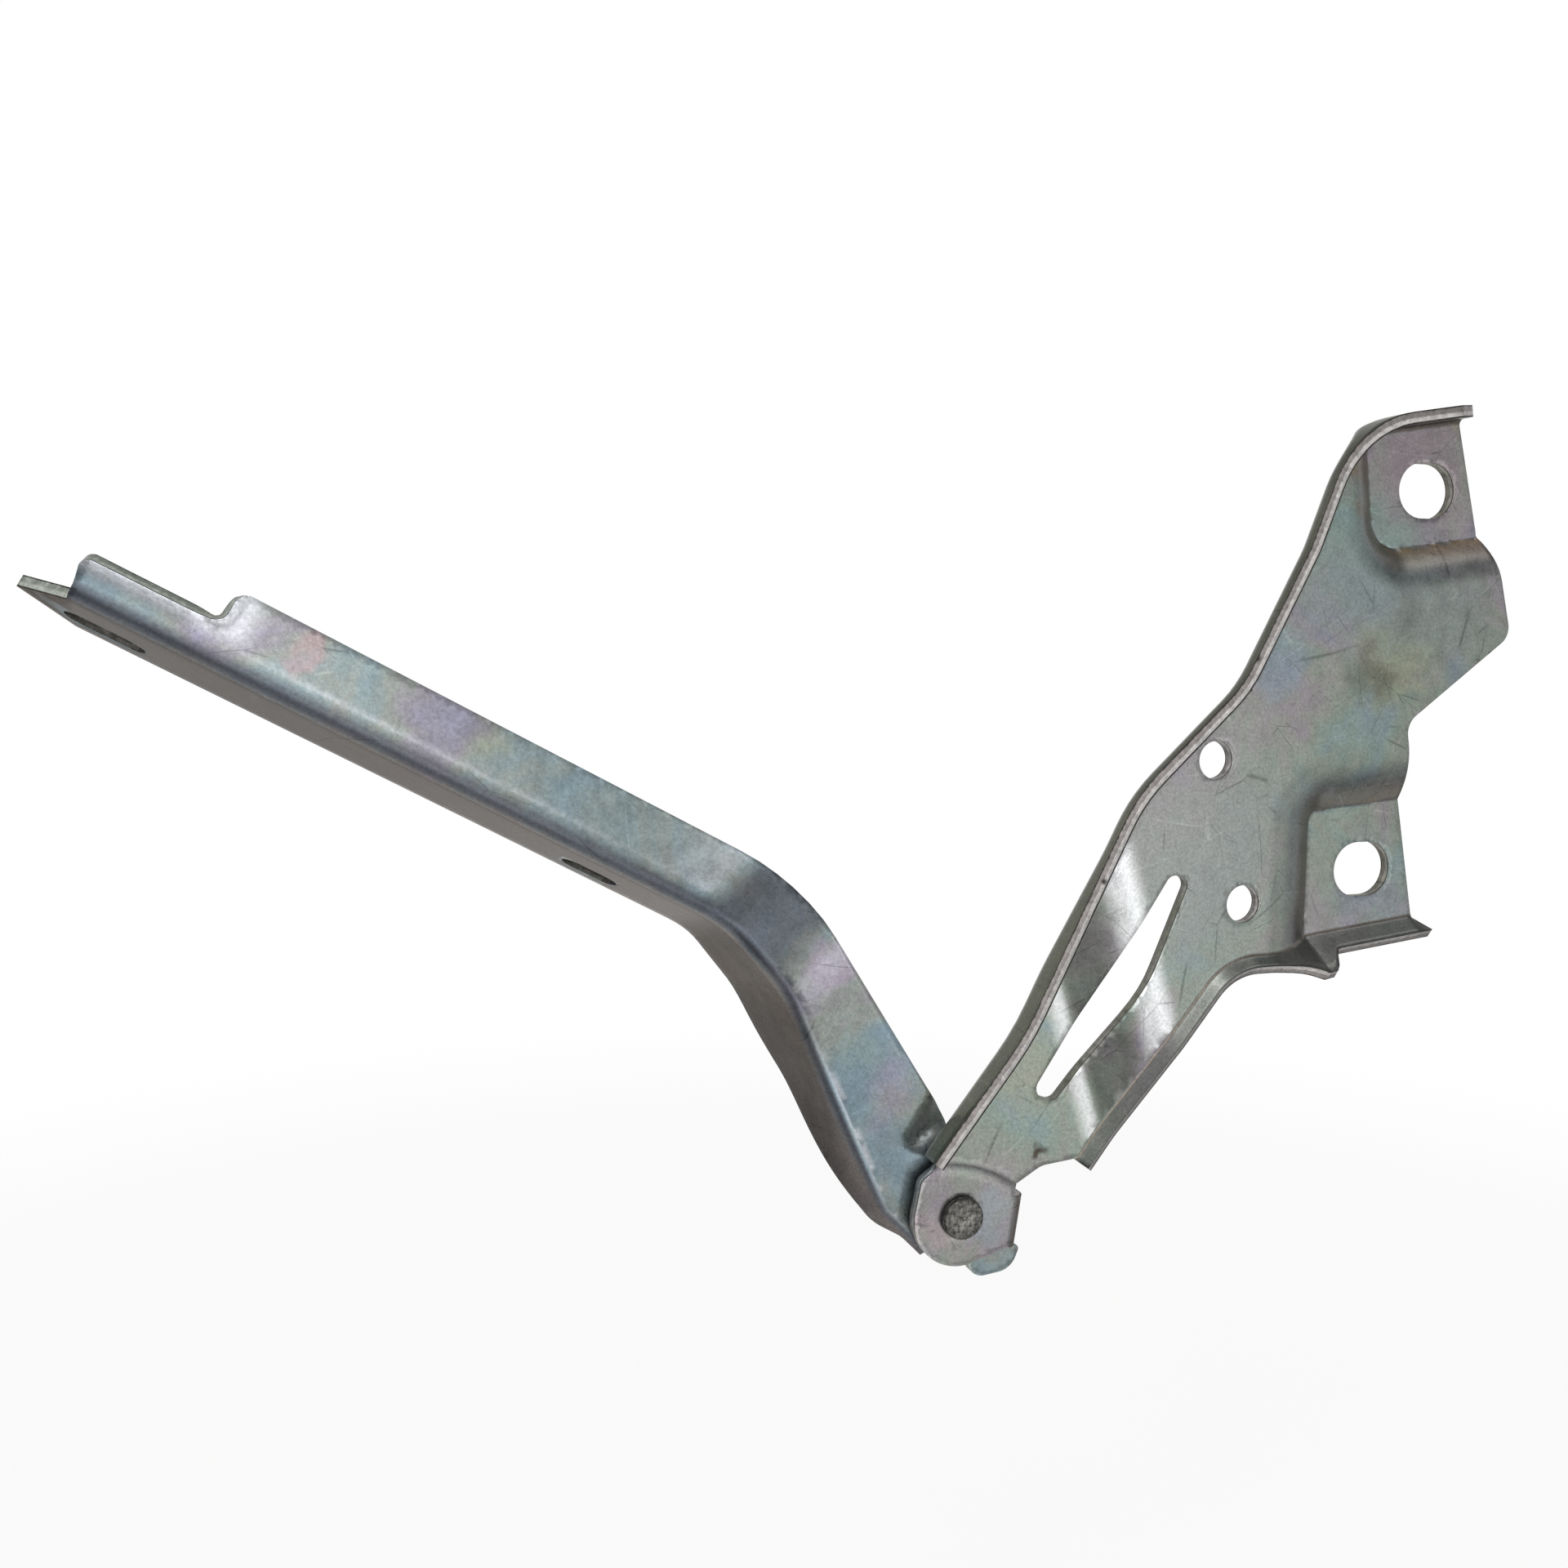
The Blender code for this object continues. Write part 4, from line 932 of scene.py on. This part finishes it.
wall_angle = math.radians(ARM_FLANGE_ANGLE)
outward = Vector((-arm_up.real * math.sin(wall_angle), -math.cos(wall_angle),
                  -arm_up.imag * math.sin(wall_angle)))
along_arm = Vector((arm_axis.real, 0.0, arm_axis.imag))
punch_turn = Matrix((along_arm, outward.cross(along_arm), outward)).transposed().to_euler()
# The hood slots' walls are drawn dark, as painted shade inside the slots.
shaded_slot_wall = sheared_edge("sheared wall of a slot in painted shade", "#55534F", "#454440")
slot_punches = []
for slot_place, slot_length in HOOD_SLOTS:
    place = arm_root[-1] - arm_axis * slot_place
    bend_end = arm_level(np.array([place]))[0] + ARM_BEND * (1 - math.cos(wall_angle))
    place -= arm_up * (ARM_BEND * math.sin(wall_angle) + (HOOD_SLOT_DEPTH - bend_end) / math.tan(wall_angle))
    prism = bmesh.new()
    slot_line = obround(0, slot_length, HOOD_SLOT_WIDTH)
    near_ring, far_ring = [[prism.verts.new((point.real * MM, point.imag * MM, end * MM))
                            for point in slot_line] for end in (-PUNCH_REACH, PUNCH_REACH)]
    prism.faces.new(near_ring)
    prism.faces.new(far_ring)
    for step in range(len(slot_line)):
        after = (step + 1) % len(slot_line)
        prism.faces.new([near_ring[step], near_ring[after], far_ring[after], far_ring[step]])
    bmesh.ops.recalc_face_normals(prism, faces=prism.faces[:])
    punch_mesh = bpy.data.meshes.new("slot_punch")
    prism.to_mesh(punch_mesh)
    prism.free()
    punch_mesh.materials.append(shaded_slot_wall)
    punch = bpy.data.objects.new("slot_punch", punch_mesh)
    scene.collection.objects.link(punch)
    punch.hide_render = True
    punch.location = (place.real * MM, HOOD_SLOT_DEPTH * MM, place.imag * MM)
    punch.rotation_euler = punch_turn
    slot_punches.append(punch)
arm_zinc = zinc_plate(
    "clear passivated zinc plate on the arm",
    film_tints=[(0.30, "#788B94"), (0.42, "#7F909A"), (0.50, "#889596"), (0.56, "#8F948F"), (0.62, "#8E8B92"),
                (0.70, "#8A8898")],
    patches=[(-243.0, 52.0, 4.5, "#B08E94", 0.45), (-216.0, 42.0, 7.0, "#9293A4", 0.3),
             (-207.0, 35.0, 6.0, "#93998A", 0.6), (-109.5, -53.0, 9.0, "#A9B3B0", 0.6),
             (-180.0, 24.0, 26.0, "#879697", 0.5), (-136.0, -14.0, 7.0, "#A294A8", 0.6),
             (-122.0, -44.0, 11.0, "#9690A2", 0.55), (-130.0, -34.0, 9.0, "#8B9C98", 0.5),
             (-112.0, -66.0, 9.0, "#8797A0", 0.5)],
    # The painted shade of bends: darker and greyer.
    bend_shade_tints=[(0.2, "#7C8492"), (0.6, "#74797C"), (1.0, "#6A6A68")], bend_shade_strength=0.35,
    # The flange wall takes a brown painted shade; painted highlights near white, painted shade dark.
    light_and_shade_tints=[("wall_light_and_shade", "#7F7268", 0.85), ("highlight_and_shade", "#DADCE2", 0.85), ("highlight_and_shade", "#494A52", -0.9)],
    scratches=[([(70.0, 11.11, 0.1)], 0.6), ([(20.0, 8.333, 0.1)], 1.25)])
arm_edge = sheared_edge("sheared steel edge of the arm", "#BFC5BB", "#A4AAA1")
arm = pressed_sheet("arm_stamping", web, ARM_SHEET, arm_zinc, arm_edge, slot_punches)
for punch in slot_punches:
    bpy.data.objects.remove(punch, do_unlink=True)
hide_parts("hood_arm")
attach(arm, "arm")


# Pivot rivet: a shouldered rivet turned from mild steel, its head behind the arm and its end peened flat
# over the bracket's pad with a spinning tool. The profile is (radius, depth) from the front of its end.
END_FRONT = -8.5
RIVET_PROFILE = [(0.0, 0.5), (0.5, 0.4), (0.9, 0.12), (1.2, 0.0), (2.6, 0.05), (3.6, 0.0), (4.2, 0.03),
                 (4.5, 0.16), (4.66, 0.4), (4.7, 0.7), (4.7, 1.6), (4.0, 1.6), (4.0, 5.0), (5.0, 5.0),
                 (5.0, 10.0), (8.5, 10.0), (8.5, 12.0), (8.2, 12.7), (7.5, 13.0), (0.0, 13.0)]
TURNED_STEPS = 96
TURNED_CREASE = 35.0
MOTTLE_SIZE = 1.111
MOTTLE_RELIEF = 0.2
TOOL_MARK_AND_RIM_SHADE = (1.4, 4.6)

turning = bmesh.new()
profile = [turning.verts.new((radius * MM, depth * MM, 0)) for radius, depth in RIVET_PROFILE]
profile += [turning.edges.new(ends) for ends in zip(profile, profile[1:])]
bmesh.ops.spin(turning, geom=profile, cent=(0, 0, 0), axis=(0, 1, 0), angle=2 * math.pi, steps=TURNED_STEPS)
bmesh.ops.remove_doubles(turning, verts=turning.verts[:], dist=WELD * MM)
bmesh.ops.recalc_face_normals(turning, faces=turning.faces[:])
rivet_mesh = bpy.data.meshes.new("peened_rivet")
turning.to_mesh(rivet_mesh)
turning.free()
rivet_mesh.shade_smooth()
rivet_mesh.set_sharp_from_angle(angle=math.radians(TURNED_CREASE))
rivet = bpy.data.objects.new("peened_rivet", rivet_mesh)
rivet.location = (PIVOT.real * MM, END_FRONT * MM, PIVOT.imag * MM)
scene.collection.objects.link(rivet)

# Bare steel, hammered cold: the eye sees a dark, mottled end, lighter in the tool's mark and darker towards
# # its rim with painted shade. The mottling is about 1 mm across and is drawn at its real size.
steel, tree, shader, spot = started("peened rivet steel")
mottle = add(tree, "ShaderNodeTexNoise", {"Vector": spot, "Scale": per_metre(MOTTLE_SIZE), "Detail": 5.0,
                                          "Roughness": 0.7})
colour = add(tree, "ShaderNodeValToRGB", {0: mottle},
             stops=tinted([(0.34, "#2F2D2A"), (0.48, "#6E6D69"), (0.66, "#AAA8A2")]))
off_axis = add(tree, "ShaderNodeVectorMath", {0: spot, 1: (1.0, 0.0, 1.0)}, operation="MULTIPLY")
off_axis = add(tree, "ShaderNodeVectorMath", {0: off_axis}, operation="LENGTH").node.outputs["Value"]
# Lighter in the tool's mark, with painted shade darkening towards the rim.
shade = add(tree, "ShaderNodeMapRange", {0: off_axis, 1: TOOL_MARK_AND_RIM_SHADE[0] * MM, 2: TOOL_MARK_AND_RIM_SHADE[1] * MM,
                                         3: 1.05, 4: 0.5})
colour = add(tree, "ShaderNodeVectorMath", {0: colour, "Scale": shade}, operation="SCALE")
finished(tree, shader, colour, 0.85, 0.46, mottle, 0.5, MOTTLE_RELIEF)
rivet_mesh.materials.append(steel)
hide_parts("pivot_rivet")
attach(rivet, "bracket")


# Flanged bush in the arm's eye: pressed and sintered from bronze powder, soaked in oil and pressed in,
# so that the arm turns on the rivet without grease. It is hidden but for its flange behind the arm.
BRONZE_PORE = 0.625

# The eye sees a dull brown gold, freckled with dark pores. Real pores are under 0.1 mm wide, and are
# drawn larger so that they show.
bronze, tree, shader, spot = started("oiled sintered bronze")
pores = add(tree, "ShaderNodeTexNoise", {"Vector": spot, "Scale": per_metre(BRONZE_PORE), "Detail": 4.0,
                                         "Roughness": 0.7})
colour = add(tree, "ShaderNodeValToRGB", {0: pores},
             stops=tinted([(0.38, "#4E3A22"), (0.50, "#86683F"), (0.66, "#9C7C50")]))
finished(tree, shader, colour, 0.9, 0.42)
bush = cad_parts["pivot_bush"]
bush.data.materials.clear()
bush.data.materials.append(bronze)


# Thrust washer between the bracket's pad and the arm's eye: punched from cold-rolled steel strip and left
# bare, held by the rivet alone.
ROLLING_LINE = (11.11, 1.111, 0.4167)

# The eye sees a light grey rim, with the strip's rolling lines drawn across it. They are this long, deep
# and high, in millimetres, and coarser than the real ones so that they show.
strip, tree, shader, spot = started("cold rolled steel strip")
drawn_out = add(tree, "ShaderNodeVectorMath", {0: spot, 1: [per_metre(size) for size in ROLLING_LINE]},
                operation="MULTIPLY")
streaks = add(tree, "ShaderNodeTexNoise", {"Vector": drawn_out, "Scale": 1.0, "Detail": 3.0})
colour = add(tree, "ShaderNodeValToRGB", {0: streaks}, stops=tinted([(0.35, "#7C7C79"), (0.65, "#9B9B98")]))
finished(tree, shader, colour, 0.95, 0.34)
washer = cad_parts["thrust_washer"]
washer.data.materials.clear()
washer.data.materials.append(strip)
